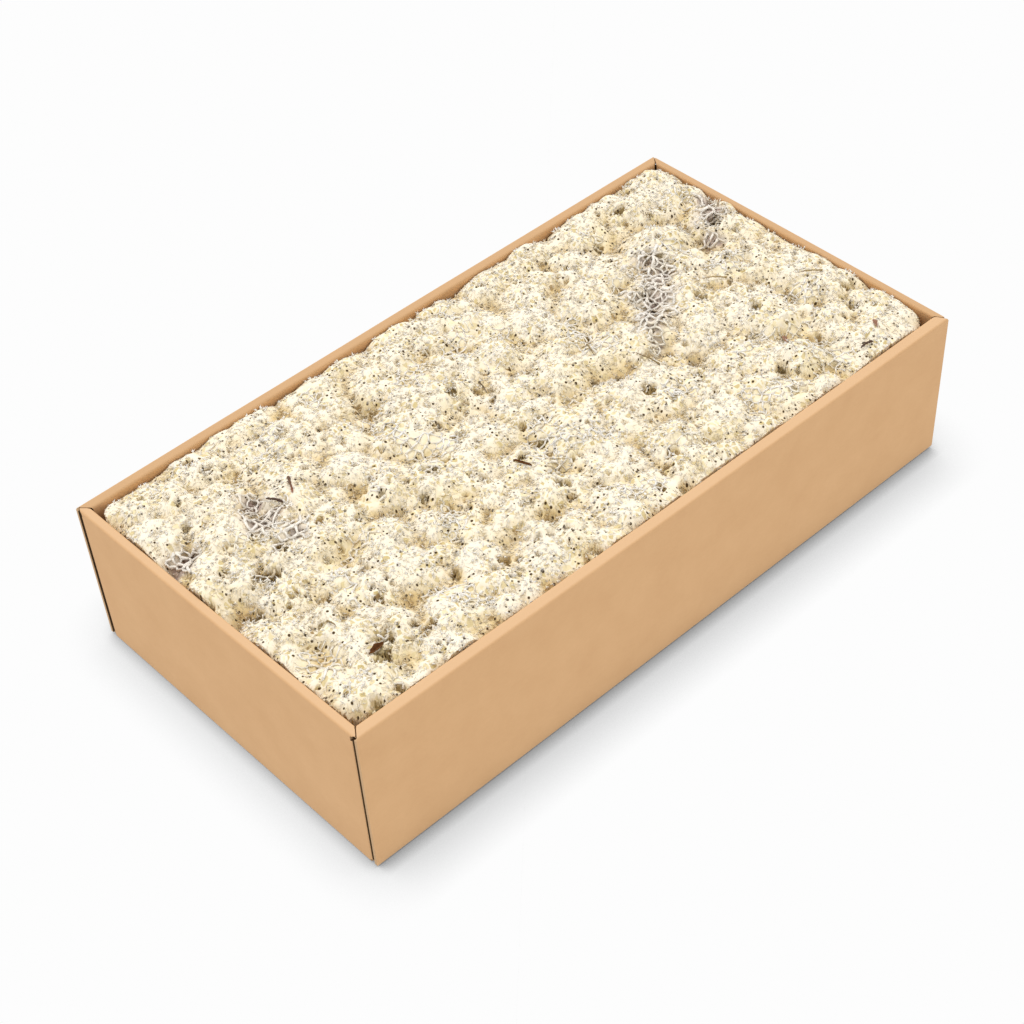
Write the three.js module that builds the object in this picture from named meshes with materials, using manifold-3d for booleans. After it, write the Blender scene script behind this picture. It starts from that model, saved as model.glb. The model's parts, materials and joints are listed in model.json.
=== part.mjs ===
// A shallow tray folded from one blank of kraft board and packed to its rim with heads of cream
// reindeer moss. Needles, twigs, bark flakes and leaf bits from the forest floor lie on the moss.
// Millimetres, +Z up. The origin is at the middle of the tray's base, and +X runs along its length.
import * as THREE from 'three';
import { mergeVertices } from 'three/addons/utils/BufferGeometryUtils.js';
import Module from 'manifold-3d';

const wasm = await Module();
wasm.setup();

// Tray
const LENGTH = 400;
const WIDTH = 212;
const HEIGHT = 91;
const BOARD = 1.6;
const LONG_WALL = 6.5; // outer panel, corner tab and inner panel, with their slack
const SHORT_WALL = 5; // outer panel and inner panel
const RIM_FALL = 0.8; // the rim leans outwards by this much
const CREASE = 1.2; // how far in from its corner a crease rounds off
const OUTER_SLIT = 0.8; // at each corner, from top to bottom of the outer panels
const INNER_SLIT = 0.8; // each inner panel stops this far short of the next wall
const MITRE_SEAM = 0.5;
const TAB_LENGTH = 58;
const TAB_DROP = 2; // from the rim's underside to the top of a corner tab
const FOOT_GAP = 0.3; // below the inner panels
const LOCK_LONG = 38;
const LOCK_SHORT = 30;
const LOCK_PLACE = 95; // of the two lock tabs of a long wall, from its middle
const LOCK_SLACK = 0.4;
const CREASE_SEGMENTS = 3;

// Moss
const COLUMNS = 9;
const ROWS = 5;
const JITTER = 0.3; // of a cell's side
const STAGGER = 0.2; // of every other row, to and fro, of a cell's side
const SETTLE = 0.65; // how far a seed moves to the middle of its share, which evens the heads out
const HEAD_GAP = 1; // between two heads
const WALL_GAP = 0.9; // between a head and the board
const WAVE_SIDE = 2; // how far the seams between the heads swing to either side
const WAVE_LENGTH = 41;
const WAVE_MARGIN = 16; // from the tray's walls, where the swing fades out
const CORNER_ROUND = 13; // of the packed moss at the tray's corners, seen from above
const RINGS = 7; // of the star tips' lattice on one head
const SIDE_STEP = 3; // rim points of a head for each point of its foot
const FOOT_TAPER = 0.95;
const CROWN_LOW = -2.5; // of a head's top, from the tray's rim
const CROWN_HIGH = 2;
const EDGE_LOW = -8; // of a head's edge, from the tray's rim
const EDGE_HIGH = -4;
const EDGE_VARY = 1;
const DOME_POWER = 3.6;
const TUFT_SIZE = 15; // of the small round tufts that a head is made of
const TUFT_RADIUS = 11;
const TUFT_RISE = 3;
const TUFT_FADE = 4; // the power that flattens the tufts towards a head's edge
const TIP_RISE = 3.6; // of a star tip
const TIP_VARY = 1;
const SEED = 7;

// Dents in the packed moss, with their radius and depth, and the places of its grey patches
const DENTS = [
  { x: -162, y: 10, radius: 10, depth: 9 },
  { x: -155, y: -70, radius: 9, depth: 9 },
  { x: -105, y: -9, radius: 8, depth: 7 },
  { x: -131, y: -66, radius: 8, depth: 5 },
  { x: -142, y: 9, radius: 6, depth: 4 },
  { x: -18, y: -48, radius: 8, depth: 6 },
  { x: -18, y: -20, radius: 8, depth: 5 },
  { x: -33, y: 13, radius: 7, depth: 5 },
  { x: -10, y: 46, radius: 7, depth: 5 },
  { x: 61, y: 23, radius: 9, depth: 6 },
  { x: 60, y: -28, radius: 7, depth: 4 },
  { x: 93, y: 45, radius: 7, depth: 5 },
  { x: 106, y: 13, radius: 9, depth: 6 },
  { x: 134, y: 7, radius: 6, depth: 4 },
  { x: 171, y: 27, radius: 7, depth: 5 },
  { x: 187, y: -58, radius: 7, depth: 5 },
  { x: 186, y: 55, radius: 9, depth: 6 },
];
const GREY_PATCHES = [
  { x: -140, y: 38 },
  { x: -178, y: 42 },
  { x: 110, y: 18 },
  { x: 184, y: 48 },
];

const GREY_REACH = 22; // from a patch's place to the middle of a head that belongs to it

// Litter
const LITTER_GAP = 0.3; // to the highest tip that carries it
const SAMPLE_STEP = 0.25; // between the places where a piece is tried against the moss
const STEM_STEPS = 6;
const NEEDLE = { radius: 0.5, bow: 0.7, sides: 4 };
const TWIG = { radius: 0.7, bow: 0.9, sides: 6 };
const NEEDLES = [
  { x: 66, y: -20, length: 16, turn: -83 },
  { x: 51, y: 6, length: 9, turn: -111 },
  { x: 140, y: 2, length: 13, turn: -42 },
  { x: 177, y: -32, length: 13, turn: -40 },
  { x: -4, y: 28, length: 10, turn: -108 },
  { x: -165, y: -47, length: 6, turn: -82 },
];
const TWIGS = [
  { x: -122, y: 36, length: 12, turn: -118 },
  { x: -133, y: 35, length: 9, turn: -61 },
  { x: 152, y: -92, length: 8, turn: -6 },
];
const FLAKES = [
  { x: -160, y: -73, length: 8, width: 4.5, turn: -4 },
  { x: -31, y: -31, length: 10, width: 4, turn: -74 },
];
const FLAKE_THICKNESS = 1.2;
const LEAF_BITS = [
  { x: 130, y: -57, length: 7, width: 3, turn: -115 },
  { x: 166, y: -86, length: 6.5, width: 3, turn: -118 },
];
const LEAF_THICKNESS = 0.7;
// The outlines of a flake and of a leaf bit, in shares of their length and width
const FLAKE_OUTLINE = [
  [-0.5, -0.1],
  [-0.3, -0.5],
  [0.2, -0.4],
  [0.5, 0],
  [0.35, 0.45],
  [-0.15, 0.5],
  [-0.4, 0.25],
];
const LEAF_OUTLINE = [
  [-0.5, 0],
  [-0.2, -0.4],
  [0.15, -0.5],
  [0.5, -0.1],
  [0.2, 0.35],
  [-0.15, 0.4],
];

const kraft = new THREE.MeshStandardMaterial({ color: 0xd3a77a, roughness: 0.85, metalness: 0 });
const creamMoss = new THREE.MeshStandardMaterial({ color: 0xf3ead2, roughness: 0.95, metalness: 0 });
const greyMoss = new THREE.MeshStandardMaterial({ color: 0xd6cccb, roughness: 0.95, metalness: 0 });
const needleBrown = new THREE.MeshStandardMaterial({ color: 0x9a6a45, roughness: 0.7, metalness: 0 });
const leafBrown = new THREE.MeshStandardMaterial({ color: 0x8d6a50, roughness: 0.8, metalness: 0 });
const barkBrown = new THREE.MeshStandardMaterial({ color: 0x7a4528, roughness: 0.9, metalness: 0 });

// Seeded random draws, the same on every build
function makeRandom(seed) {
  let state = seed >>> 0;
  return () => {
    state = (state + 0x6d2b79f5) >>> 0;
    let t = Math.imul(state ^ (state >>> 15), 1 | state);
    t = (t + Math.imul(t ^ (t >>> 7), 61 | t)) ^ t;
    return ((t ^ (t >>> 14)) >>> 0) / 4294967296;
  };
}

// Solids and meshes
function toSolid(geometry) {
  const bare = geometry.clone();
  bare.deleteAttribute('normal');
  bare.deleteAttribute('uv');
  const merged = mergeVertices(bare);
  const vertProperties = new Float32Array(merged.attributes.position.array);
  const triVerts = new Uint32Array(merged.index.array);
  return new wasm.Manifold(new wasm.Mesh({ numProp: 3, vertProperties, triVerts }));
}

function toGeometry(solid) {
  const { vertProperties, triVerts } = solid.getMesh();
  const geometry = new THREE.BufferGeometry();
  geometry.setAttribute('position', new THREE.BufferAttribute(new Float32Array(vertProperties), 3));
  geometry.setIndex(new THREE.BufferAttribute(new Uint32Array(triVerts), 1));
  geometry.computeVertexNormals();
  return geometry;
}

function block(x0, y0, z0, x1, y1, z1) {
  const geometry = new THREE.BoxGeometry(x1 - x0, y1 - y0, z1 - z0);
  return toSolid(geometry.translate((x0 + x1) / 2, (y0 + y1) / 2, (z0 + z1) / 2));
}

function prism(points, z0, z1) {
  const outline = new THREE.Shape(points.map(([x, y]) => new THREE.Vector2(x, y)));
  const geometry = new THREE.ExtrudeGeometry(outline, { depth: z1 - z0, bevelEnabled: false });
  return toSolid(geometry.translate(0, 0, z0));
}

// The tray's walls: a board that rises, turns over at the rim and hangs down inside
const rimUnderside = HEIGHT - RIM_FALL - BOARD;

function wallProfile(width) {
  const rimOuter = HEIGHT - RIM_FALL;
  const shape = new THREE.Shape();
  shape.moveTo(BOARD, 0);
  shape.lineTo(CREASE, 0);
  shape.quadraticCurveTo(0, 0, 0, CREASE);
  shape.lineTo(0, rimOuter - CREASE);
  shape.quadraticCurveTo(0, rimOuter, CREASE, rimOuter);
  shape.lineTo(width - CREASE, HEIGHT);
  shape.quadraticCurveTo(width, HEIGHT, width, HEIGHT - CREASE);
  shape.lineTo(width, BOARD + FOOT_GAP);
  shape.lineTo(width - BOARD, BOARD + FOOT_GAP);
  shape.lineTo(width - BOARD, HEIGHT - BOARD);
  shape.lineTo(BOARD, rimUnderside);
  shape.closePath();
  return shape;
}

// A wall stands with its outer face at x = 0 and its inner panel towards +X, centred along Y
function standingWall(width, length) {
  const geometry = new THREE.ExtrudeGeometry(wallProfile(width), {
    depth: length,
    bevelEnabled: false,
    curveSegments: CREASE_SEGMENTS,
  });
  return toSolid(geometry.rotateX(Math.PI / 2).translate(0, length / 2, 0));
}

// What lies beyond the mitre at one end of a wall, in the standing wall's own place
function beyondMitre(end, width, length, otherWidth) {
  const tip = (end * length) / 2;
  const inner = end * (length / 2 - otherWidth);
  const seam = (end * MITRE_SEAM) / 2;
  const past = tip + end * otherWidth;
  const points = [
    [0, tip - seam],
    [width, inner - seam],
    [width + 1, inner - seam],
    [width + 1, past],
    [-1, past],
    [-1, tip - seam],
  ];
  return prism(end > 0 ? points : points.reverse(), rimUnderside - FOOT_GAP, HEIGHT + 1);
}

function lockTab(width, middle, size) {
  const half = size / 2;
  return block(width - BOARD, middle - half, FOOT_GAP, width, middle + half, BOARD + 1);
}

function lockSlot(width, middle, size) {
  const half = size / 2 + LOCK_SLACK;
  const inner = width - BOARD - LOCK_SLACK;
  return block(inner, middle - half, -1, width + LOCK_SLACK, middle + half, BOARD + 0.1);
}

// A long wall's outer panel runs the tray's whole length, and its cut ends show at the corners
function longWall() {
  let wall = standingWall(LONG_WALL, LENGTH);
  const innerEnd = LENGTH / 2 - SHORT_WALL - INNER_SLIT;
  for (const end of [-1, 1]) {
    wall = wall.subtract(beyondMitre(end, LONG_WALL, LENGTH, SHORT_WALL));
    const [y0, y1] = end > 0 ? [innerEnd, LENGTH] : [-LENGTH, -innerEnd];
    wall = wall.subtract(block(BOARD, y0, 0, LONG_WALL + 1, y1, rimUnderside));
    wall = wall.add(lockTab(LONG_WALL, end * LOCK_PLACE, LOCK_LONG));
  }
  return wall;
}

// A short wall's outer panel turns into a tab at each end, inside the hollow of the long wall
function shortWall() {
  const fold = WIDTH / 2 - BOARD - OUTER_SLIT;
  const tabTop = rimUnderside - TAB_DROP;
  let wall = standingWall(SHORT_WALL, WIDTH);
  const innerEnd = WIDTH / 2 - LONG_WALL - INNER_SLIT;
  for (const end of [-1, 1]) {
    wall = wall.subtract(beyondMitre(end, SHORT_WALL, WIDTH, LONG_WALL));
    const [y0, y1] = end > 0 ? [innerEnd, WIDTH] : [-WIDTH, -innerEnd];
    wall = wall.subtract(block(BOARD, y0, 0, SHORT_WALL + 1, y1, rimUnderside));
    const [fold0, fold1] = end > 0 ? [fold - CREASE, WIDTH] : [-WIDTH, CREASE - fold];
    wall = wall.subtract(block(-1, fold0, -1, SHORT_WALL + 1, fold1, rimUnderside));
  }
  wall = wall.add(lockTab(SHORT_WALL, 0, LOCK_SHORT));
  const plan = new THREE.Shape();
  plan.moveTo(TAB_LENGTH, -fold);
  plan.lineTo(TAB_LENGTH, BOARD - fold);
  plan.lineTo(BOARD, BOARD - fold);
  plan.lineTo(BOARD, fold - BOARD);
  plan.lineTo(TAB_LENGTH, fold - BOARD);
  plan.lineTo(TAB_LENGTH, fold);
  plan.lineTo(CREASE, fold);
  plan.quadraticCurveTo(0, fold, 0, fold - CREASE);
  plan.lineTo(0, CREASE - fold);
  plan.quadraticCurveTo(0, -fold, CREASE, -fold);
  plan.closePath();
  const tabFoot = BOARD + FOOT_GAP;
  const panel = new THREE.ExtrudeGeometry(plan, {
    depth: tabTop - tabFoot,
    bevelEnabled: false,
    curveSegments: CREASE_SEGMENTS,
  });
  const folded = toSolid(panel.translate(0, 0, tabFoot));
  const panelEnds = block(0, -fold + CREASE, CREASE, BOARD, fold - CREASE, rimUnderside + 0.1);
  return wall.add(folded).add(panelEnds);
}

function makeTray() {
  const long = longWall();
  const short = shortWall();
  const floorX = LENGTH / 2 - CREASE;
  const floorY = WIDTH / 2 - CREASE;
  let tray = block(-floorX, -floorY, 0, floorX, floorY, BOARD);
  for (const place of [-LOCK_PLACE, LOCK_PLACE]) {
    const slot = lockSlot(LONG_WALL, place, LOCK_LONG);
    tray = tray.subtract(slot.rotate([0, 0, 90]).translate([0, -WIDTH / 2, 0]));
    tray = tray.subtract(slot.rotate([0, 0, -90]).translate([0, WIDTH / 2, 0]));
  }
  const shortSlot = lockSlot(SHORT_WALL, 0, LOCK_SHORT);
  tray = tray.subtract(shortSlot.translate([-LENGTH / 2, 0, 0]));
  tray = tray.subtract(shortSlot.rotate([0, 0, 180]).translate([LENGTH / 2, 0, 0]));
  tray = tray.add(long.rotate([0, 0, 90]).translate([0, -WIDTH / 2, 0]));
  tray = tray.add(long.rotate([0, 0, -90]).translate([0, WIDTH / 2, 0]));
  tray = tray.add(short.translate([-LENGTH / 2, 0, 0]));
  tray = tray.add(short.rotate([0, 0, 180]).translate([LENGTH / 2, 0, 0]));
  const mesh = new THREE.Mesh(toGeometry(tray), kraft);
  mesh.name = 'tray';
  return mesh;
}

// The floor plan of the packed moss: a rounded rectangle inside the tray's inner panels
function mossOutline() {
  const halfX = LENGTH / 2 - SHORT_WALL - WALL_GAP;
  const halfY = WIDTH / 2 - LONG_WALL - WALL_GAP;
  const shape = new THREE.Shape();
  const r = CORNER_ROUND;
  shape.absarc(halfX - r, halfY - r, r, 0, Math.PI / 2);
  shape.absarc(r - halfX, halfY - r, r, Math.PI / 2, Math.PI);
  shape.absarc(r - halfX, r - halfY, r, Math.PI, 1.5 * Math.PI);
  shape.absarc(halfX - r, r - halfY, r, 1.5 * Math.PI, 2 * Math.PI);
  return shape.getPoints(6);
}

// Cuts a convex outline to the side of a line that (nx, ny) points away from
function clip(points, nx, ny, offset) {
  const kept = [];
  points.forEach((p, i) => {
    const q = points[(i + 1) % points.length];
    const dp = p.x * nx + p.y * ny - offset;
    const dq = q.x * nx + q.y * ny - offset;
    if (dp <= 0) kept.push(p);
    if (dp * dq < 0) kept.push(p.clone().lerp(q, dp / (dp - dq)));
  });
  return kept;
}

// A head's own share of the floor: nearer to its seed than to any other
function cellOutline(seeds, own, outline, gap) {
  let cell = outline;
  seeds.forEach((other, i) => {
    if (i === own) return;
    const away = other.clone().sub(seeds[own]);
    const distance = away.length();
    away.divideScalar(distance);
    const middle = away.dot(seeds[own]) + distance / 2 - gap / 2;
    cell = clip(cell, away.x, away.y, middle);
  });
  return cell;
}

function centreOf(points) {
  const centre = new THREE.Vector2();
  let area = 0;
  points.forEach((p, i) => {
    const q = points[(i + 1) % points.length];
    const cross = p.x * q.y - q.x * p.y;
    area += cross;
    centre.x += (p.x + q.x) * cross;
    centre.y += (p.y + q.y) * cross;
  });
  return centre.divideScalar(3 * area);
}

function headSeeds(random, outline) {
  const stepX = (LENGTH - 2 * SHORT_WALL) / COLUMNS;
  const stepY = (WIDTH - 2 * LONG_WALL) / ROWS;
  const seeds = [];
  for (let row = 0; row < ROWS; row += 1) {
    for (let column = 0; column < COLUMNS; column += 1) {
      const stagger = row % 2 ? STAGGER : -STAGGER;
      const shift = (random() - 0.5) * 2 * JITTER;
      const x = (column - (COLUMNS - 1) / 2 + stagger + shift) * stepX;
      const y = (row - (ROWS - 1) / 2 + (random() - 0.5) * 2 * JITTER) * stepY;
      seeds.push(new THREE.Vector2(x, y));
    }
  }
  return seeds.map((seed, i) => centreOf(cellOutline(seeds, i, outline, 0)).lerp(seed, 1 - SETTLE));
}

// How far the outline lies from the centre in one direction
function reach(points, centre, angle) {
  const dx = Math.cos(angle);
  const dy = Math.sin(angle);
  let best = Infinity;
  points.forEach((p, i) => {
    const q = points[(i + 1) % points.length];
    const ex = q.x - p.x;
    const ey = q.y - p.y;
    const across = dx * ey - dy * ex;
    if (Math.abs(across) < 1e-9) return;
    const t = ((p.x - centre.x) * ey - (p.y - centre.y) * ex) / across;
    const s = ((p.x - centre.x) * dy - (p.y - centre.y) * dx) / across;
    if (t > 0 && s >= -1e-9 && s <= 1 + 1e-9) best = Math.min(best, t);
  });
  return best;
}

// Round tufts over the whole moss, one in each square of a jittered grid
function makeTufts(random) {
  const tufts = [];
  for (let x = -LENGTH / 2; x <= LENGTH / 2; x += TUFT_SIZE) {
    for (let y = -WIDTH / 2; y <= WIDTH / 2; y += TUFT_SIZE) {
      tufts.push(new THREE.Vector2(x + random() * TUFT_SIZE, y + random() * TUFT_SIZE));
    }
  }
  return tufts;
}

function tuftRise(tufts, x, y) {
  let nearest = Infinity;
  for (const tuft of tufts) nearest = Math.min(nearest, Math.hypot(tuft.x - x, tuft.y - y));
  return TUFT_RISE * Math.max(0, 1 - (nearest / TUFT_RADIUS) ** 2);
}

function dentDepth(x, y) {
  let depth = 0;
  for (const dent of DENTS) {
    const ratio = Math.hypot(dent.x - x, dent.y - y) / dent.radius;
    if (ratio < 1) depth += dent.depth * (1 - ratio * ratio) ** 2;
  }
  return depth;
}

// Swings the straight seams between the heads into waves, less and less towards the walls
function wave(x, y) {
  const room = Math.min(LENGTH / 2 - SHORT_WALL - Math.abs(x), WIDTH / 2 - LONG_WALL - Math.abs(y));
  const swing = WAVE_SIDE * THREE.MathUtils.smoothstep(room, 0, WAVE_MARGIN);
  const turn = (2 * Math.PI) / WAVE_LENGTH;
  return [x + swing * Math.sin(turn * y + 1), y + swing * Math.sin(turn * x * 0.9 + 2)];
}

// One head: a dome over its share of the floor, with star tips raised on a six-sided lattice
function headGeometry(cell, random, tufts) {
  const centre = centreOf(cell);
  const crown = HEIGHT + CROWN_LOW + random() * (CROWN_HIGH - CROWN_LOW);
  const edge = HEIGHT + EDGE_LOW + random() * (EDGE_HIGH - EDGE_LOW);
  const spin = random() * Math.PI;
  const positions = [];
  const indexOf = new Map();
  const rim = [];
  for (let q = -RINGS; q <= RINGS; q += 1) {
    for (let r = -RINGS; r <= RINGS; r += 1) {
      const ring = Math.max(Math.abs(q), Math.abs(r), Math.abs(q + r));
      if (ring > RINGS) continue;
      const angle = Math.atan2((r * Math.sqrt(3)) / 2, q + r / 2) + spin;
      const share = ring / RINGS;
      const radius = ring === 0 ? 0 : share * reach(cell, centre, angle);
      const flatX = centre.x + radius * Math.cos(angle);
      const flatY = centre.y + radius * Math.sin(angle);
      const [x, y] = wave(flatX, flatY);
      let z = edge + (crown - edge) * (1 - share ** DOME_POWER);
      z += (tuftRise(tufts, x, y) - TUFT_RISE / 2) * (1 - share ** TUFT_FADE) - dentDepth(x, y);
      const isTip = (q - r) % 3 === 0 && ring < RINGS;
      if (isTip) z += TIP_RISE + (random() - 0.5) * 2 * TIP_VARY;
      if (ring === RINGS) {
        z += (random() - 0.5) * 2 * EDGE_VARY;
        rim.push({ angle, flatX, flatY, index: positions.length / 3 });
      }
      indexOf.set(`${q},${r}`, positions.length / 3);
      positions.push(x, y, z);
    }
  }
  const index = [];
  const at = (q, r) => indexOf.get(`${q},${r}`);
  const face = (a, b, c) => {
    if (a !== undefined && b !== undefined && c !== undefined) index.push(a, b, c);
  };
  for (let q = -RINGS; q <= RINGS; q += 1) {
    for (let r = -RINGS; r <= RINGS; r += 1) {
      face(at(q, r), at(q + 1, r), at(q, r + 1));
      face(at(q + 1, r), at(q + 1, r + 1), at(q, r + 1));
    }
  }
  // Down to the foot, which has fewer points than the rim
  rim.sort((a, b) => a.angle - b.angle);
  const foot = [];
  for (let i = 0; i < rim.length; i += SIDE_STEP) {
    const flatX = centre.x + (rim[i].flatX - centre.x) * FOOT_TAPER;
    const flatY = centre.y + (rim[i].flatY - centre.y) * FOOT_TAPER;
    foot.push(positions.length / 3);
    positions.push(...wave(flatX, flatY), BOARD + FOOT_GAP);
  }
  foot.forEach((low, i) => {
    const nextLow = foot[(i + 1) % foot.length];
    for (let k = 0; k < SIDE_STEP; k += 1) {
      const a = rim[i * SIDE_STEP + k].index;
      const b = rim[(i * SIDE_STEP + k + 1) % rim.length].index;
      index.push(low, b, a);
    }
    index.push(low, nextLow, rim[((i + 1) * SIDE_STEP) % rim.length].index);
    if (i > 0 && i < foot.length - 1) index.push(foot[0], nextLow, low);
  });
  const geometry = new THREE.BufferGeometry();
  geometry.setAttribute('position', new THREE.Float32BufferAttribute(positions, 3));
  geometry.setIndex(index);
  geometry.computeVertexNormals();
  return { geometry, centre };
}

function isGrey(centre) {
  const distance = (patch) => Math.hypot(patch.x - centre.x, patch.y - centre.y);
  return GREY_PATCHES.some((patch) => distance(patch) < GREY_REACH);
}

function makeHeads() {
  const random = makeRandom(SEED);
  const outline = mossOutline();
  const seeds = headSeeds(random, outline);
  const tufts = makeTufts(random);
  return seeds.map((seed, i) => {
    const { geometry, centre } = headGeometry(cellOutline(seeds, i, outline, HEAD_GAP), random, tufts);
    const mesh = new THREE.Mesh(geometry, isGrey(centre) ? greyMoss : creamMoss);
    mesh.name = `moss_head_${String(i + 1).padStart(2, '0')}`;
    return mesh;
  });
}

// The moss's height under a point of a litter piece
function surfaceHeight(heads, x, y) {
  const ray = new THREE.Raycaster(new THREE.Vector3(x, y, 2 * HEIGHT), new THREE.Vector3(0, 0, -1));
  const hit = ray.intersectObjects(heads)[0];
  return hit ? hit.point.z : -Infinity;
}

// Lays a piece on the moss: turned, moved to its place and lowered until its underside touches
function layDown(mesh, heads, { x, y, turn }, underside) {
  const angle = THREE.MathUtils.degToRad(turn);
  let lift = -Infinity;
  for (const [px, py, pz] of underside) {
    const wx = x + px * Math.cos(angle) - py * Math.sin(angle);
    const wy = y + px * Math.sin(angle) + py * Math.cos(angle);
    lift = Math.max(lift, surfaceHeight(heads, wx, wy) - pz);
  }
  mesh.rotation.z = angle;
  mesh.position.set(x, y, lift + LITTER_GAP);
  return mesh;
}

// A round stem or needle that bows upwards in the middle, with pointed ends
function stemPiece(length, { radius, bow, sides }) {
  const positions = [-length / 2, 0, 0];
  const underside = [];
  for (let i = 1; i < STEM_STEPS; i += 1) {
    const s = (i / STEM_STEPS) * 2 - 1;
    const x = (s * length) / 2;
    const z = bow * (1 - s * s);
    for (let k = 0; k < sides; k += 1) {
      const angle = (k / sides) * 2 * Math.PI;
      positions.push(x, radius * Math.cos(angle), z + radius * Math.sin(angle));
    }
  }
  positions.push(length / 2, 0, 0);
  for (let x = -length / 2; x <= length / 2; x += SAMPLE_STEP) {
    const s = (2 * x) / length;
    for (const y of [-radius, 0, radius]) underside.push([x, y, bow * (1 - s * s) - radius]);
  }
  const index = [];
  const last = positions.length / 3 - 1;
  for (let k = 0; k < sides; k += 1) {
    const next = (k + 1) % sides;
    index.push(0, 1 + next, 1 + k);
    for (let i = 0; i < STEM_STEPS - 2; i += 1) {
      const a = 1 + i * sides;
      const b = a + sides;
      index.push(a + k, a + next, b + k, a + next, b + next, b + k);
    }
    const end = 1 + (STEM_STEPS - 2) * sides;
    index.push(end + k, end + next, last);
  }
  const geometry = new THREE.BufferGeometry();
  geometry.setAttribute('position', new THREE.Float32BufferAttribute(positions, 3));
  geometry.setIndex(index);
  geometry.computeVertexNormals();
  return { geometry, underside };
}

// A thin broken flake, whose outline is given in shares of its length and width
function flakePiece({ length, width }, thickness, outline) {
  const shape = new THREE.Shape(outline.map(([x, y]) => new THREE.Vector2(x * length, y * width)));
  const geometry = new THREE.ExtrudeGeometry(shape, { depth: thickness, bevelEnabled: false });
  const underside = [];
  for (let x = -length / 2; x <= length / 2; x += SAMPLE_STEP) {
    for (let y = -width / 2; y <= width / 2; y += SAMPLE_STEP) underside.push([x, y, 0]);
  }
  return { geometry, underside };
}

function makeLitter(heads) {
  const pieces = [];
  const lay = (name, places, material, makePiece) => {
    places.forEach((place, i) => {
      const { geometry, underside } = makePiece(place);
      const mesh = new THREE.Mesh(geometry, material);
      mesh.name = `${name}_${i + 1}`;
      pieces.push(layDown(mesh, heads, place, underside));
    });
  };
  lay('pine_needle', NEEDLES, needleBrown, (place) => stemPiece(place.length, NEEDLE));
  lay('twig', TWIGS, barkBrown, (place) => stemPiece(place.length, TWIG));
  lay('bark_flake', FLAKES, barkBrown, (place) => flakePiece(place, FLAKE_THICKNESS, FLAKE_OUTLINE));
  lay('leaf_bit', LEAF_BITS, leafBrown, (place) => flakePiece(place, LEAF_THICKNESS, LEAF_OUTLINE));
  return pieces;
}

const part = new THREE.Group();
const heads = makeHeads();
part.add(makeTray(), ...heads, ...makeLitter(heads));

export default part;
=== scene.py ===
# A tray of kraft board packed to its rim with cream reindeer moss, photographed on white.
# The object is in metres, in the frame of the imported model. Sizes are given in millimetres.
import json
import math

import bmesh
import bpy
import numpy as np
from mathutils import Matrix, Vector, noise
from mathutils.bvhtree import BVHTree
from mathutils.geometry import delaunay_2d_cdt
from mathutils.kdtree import KDTree


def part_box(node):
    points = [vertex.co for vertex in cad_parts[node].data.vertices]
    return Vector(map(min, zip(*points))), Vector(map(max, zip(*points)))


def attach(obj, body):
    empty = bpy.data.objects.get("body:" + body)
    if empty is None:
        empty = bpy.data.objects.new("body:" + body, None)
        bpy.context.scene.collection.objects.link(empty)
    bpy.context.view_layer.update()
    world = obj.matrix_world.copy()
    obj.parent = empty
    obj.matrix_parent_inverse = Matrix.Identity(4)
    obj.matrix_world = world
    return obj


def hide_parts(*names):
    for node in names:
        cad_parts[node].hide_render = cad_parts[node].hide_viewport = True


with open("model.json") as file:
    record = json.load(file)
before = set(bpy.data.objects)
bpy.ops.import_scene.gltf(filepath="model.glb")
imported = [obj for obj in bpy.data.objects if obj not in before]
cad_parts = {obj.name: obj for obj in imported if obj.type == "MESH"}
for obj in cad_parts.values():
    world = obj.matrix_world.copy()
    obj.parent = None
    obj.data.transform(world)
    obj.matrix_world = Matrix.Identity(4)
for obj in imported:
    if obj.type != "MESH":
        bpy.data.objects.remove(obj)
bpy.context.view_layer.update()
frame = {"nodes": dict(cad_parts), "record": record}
MM = 0.001


# Kraft tray
# One die-cut blank of brown kraft board. Its outer panels fold up from the floor, turn over at the
# rim and hang down inside as inner panels, whose lock tabs sit in slots in the floor. The short
# panels run on round the corners as tabs inside the hollow of the long walls. There is no glue.
tray_low, tray_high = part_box("tray")
LENGTH, WIDTH, HEIGHT = (tray_high - tray_low) / MM
BOARD = 1.6
LONG_WALL = 6.5
SHORT_WALL = 5.0
RIM_FALL = 0.8
FOLD_RADIUS = 0.6  # of the board's middle layer round a crease
FOLD_STEPS = 6
SUPPORT = 0.35  # from a crease to the line that keeps the panel beside it flat
OUTER_SLIT = 1.6
INNER_SLIT = 0.8
MITRE_SEAM = 0.6
TAB_LENGTH = 58.0
TAB_DROP = 2.0
FOOT_GAP = 0.3
LOCK_LONG = 38.0
LOCK_SHORT = 30.0
LOCK_PLACE = 95.0
LOCK_SLACK = 0.4
LINE_STEP = 12.0  # between the lines of the blank's mesh
LAST_LINES = (180.0, 88.0)  # the last even lines before the creases, along and across
TAB_START = 4.0  # from the tray's end to the first flat line of a corner tab
WALL_BOW = 0.8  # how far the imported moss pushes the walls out
BOW_SPAN = 1.2  # of the wall's height, so that the bow is widest a little over the middle
RIM_WAVE = 0.25
WAVE_SIZE = 70.0
RIM_WARP = 1.5  # how far two opposite corners stand up and the other two hang down
FLARE_LONG = 0.6  # of the short walls at the rim, and inwards at the floor
FLARE_SHORT = 0.4
WELD = 0.01
RIM_WEAR_AND_PAINTED_LIGHT = {-1: 1.0, 1: -1.0}  # the rims at the front are painted pale, partly wear and partly a painted highlight, and the ones at the back dark with painted shade
FOOT_WEAR_AND_PAINTED_LIGHT = 0.4  # of the crease at the floor: wear with a painted highlight at the front, painted shade at the back

half_board = BOARD / 2
fold_reach = half_board + FOLD_RADIUS  # from a panel's outer face to where its crease ends


def even_steps(low, high, step):
    """Numbers from low to high, about one step apart."""
    return list(np.linspace(low, high, max(2, round((high - low) / step) + 1)))


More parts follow.
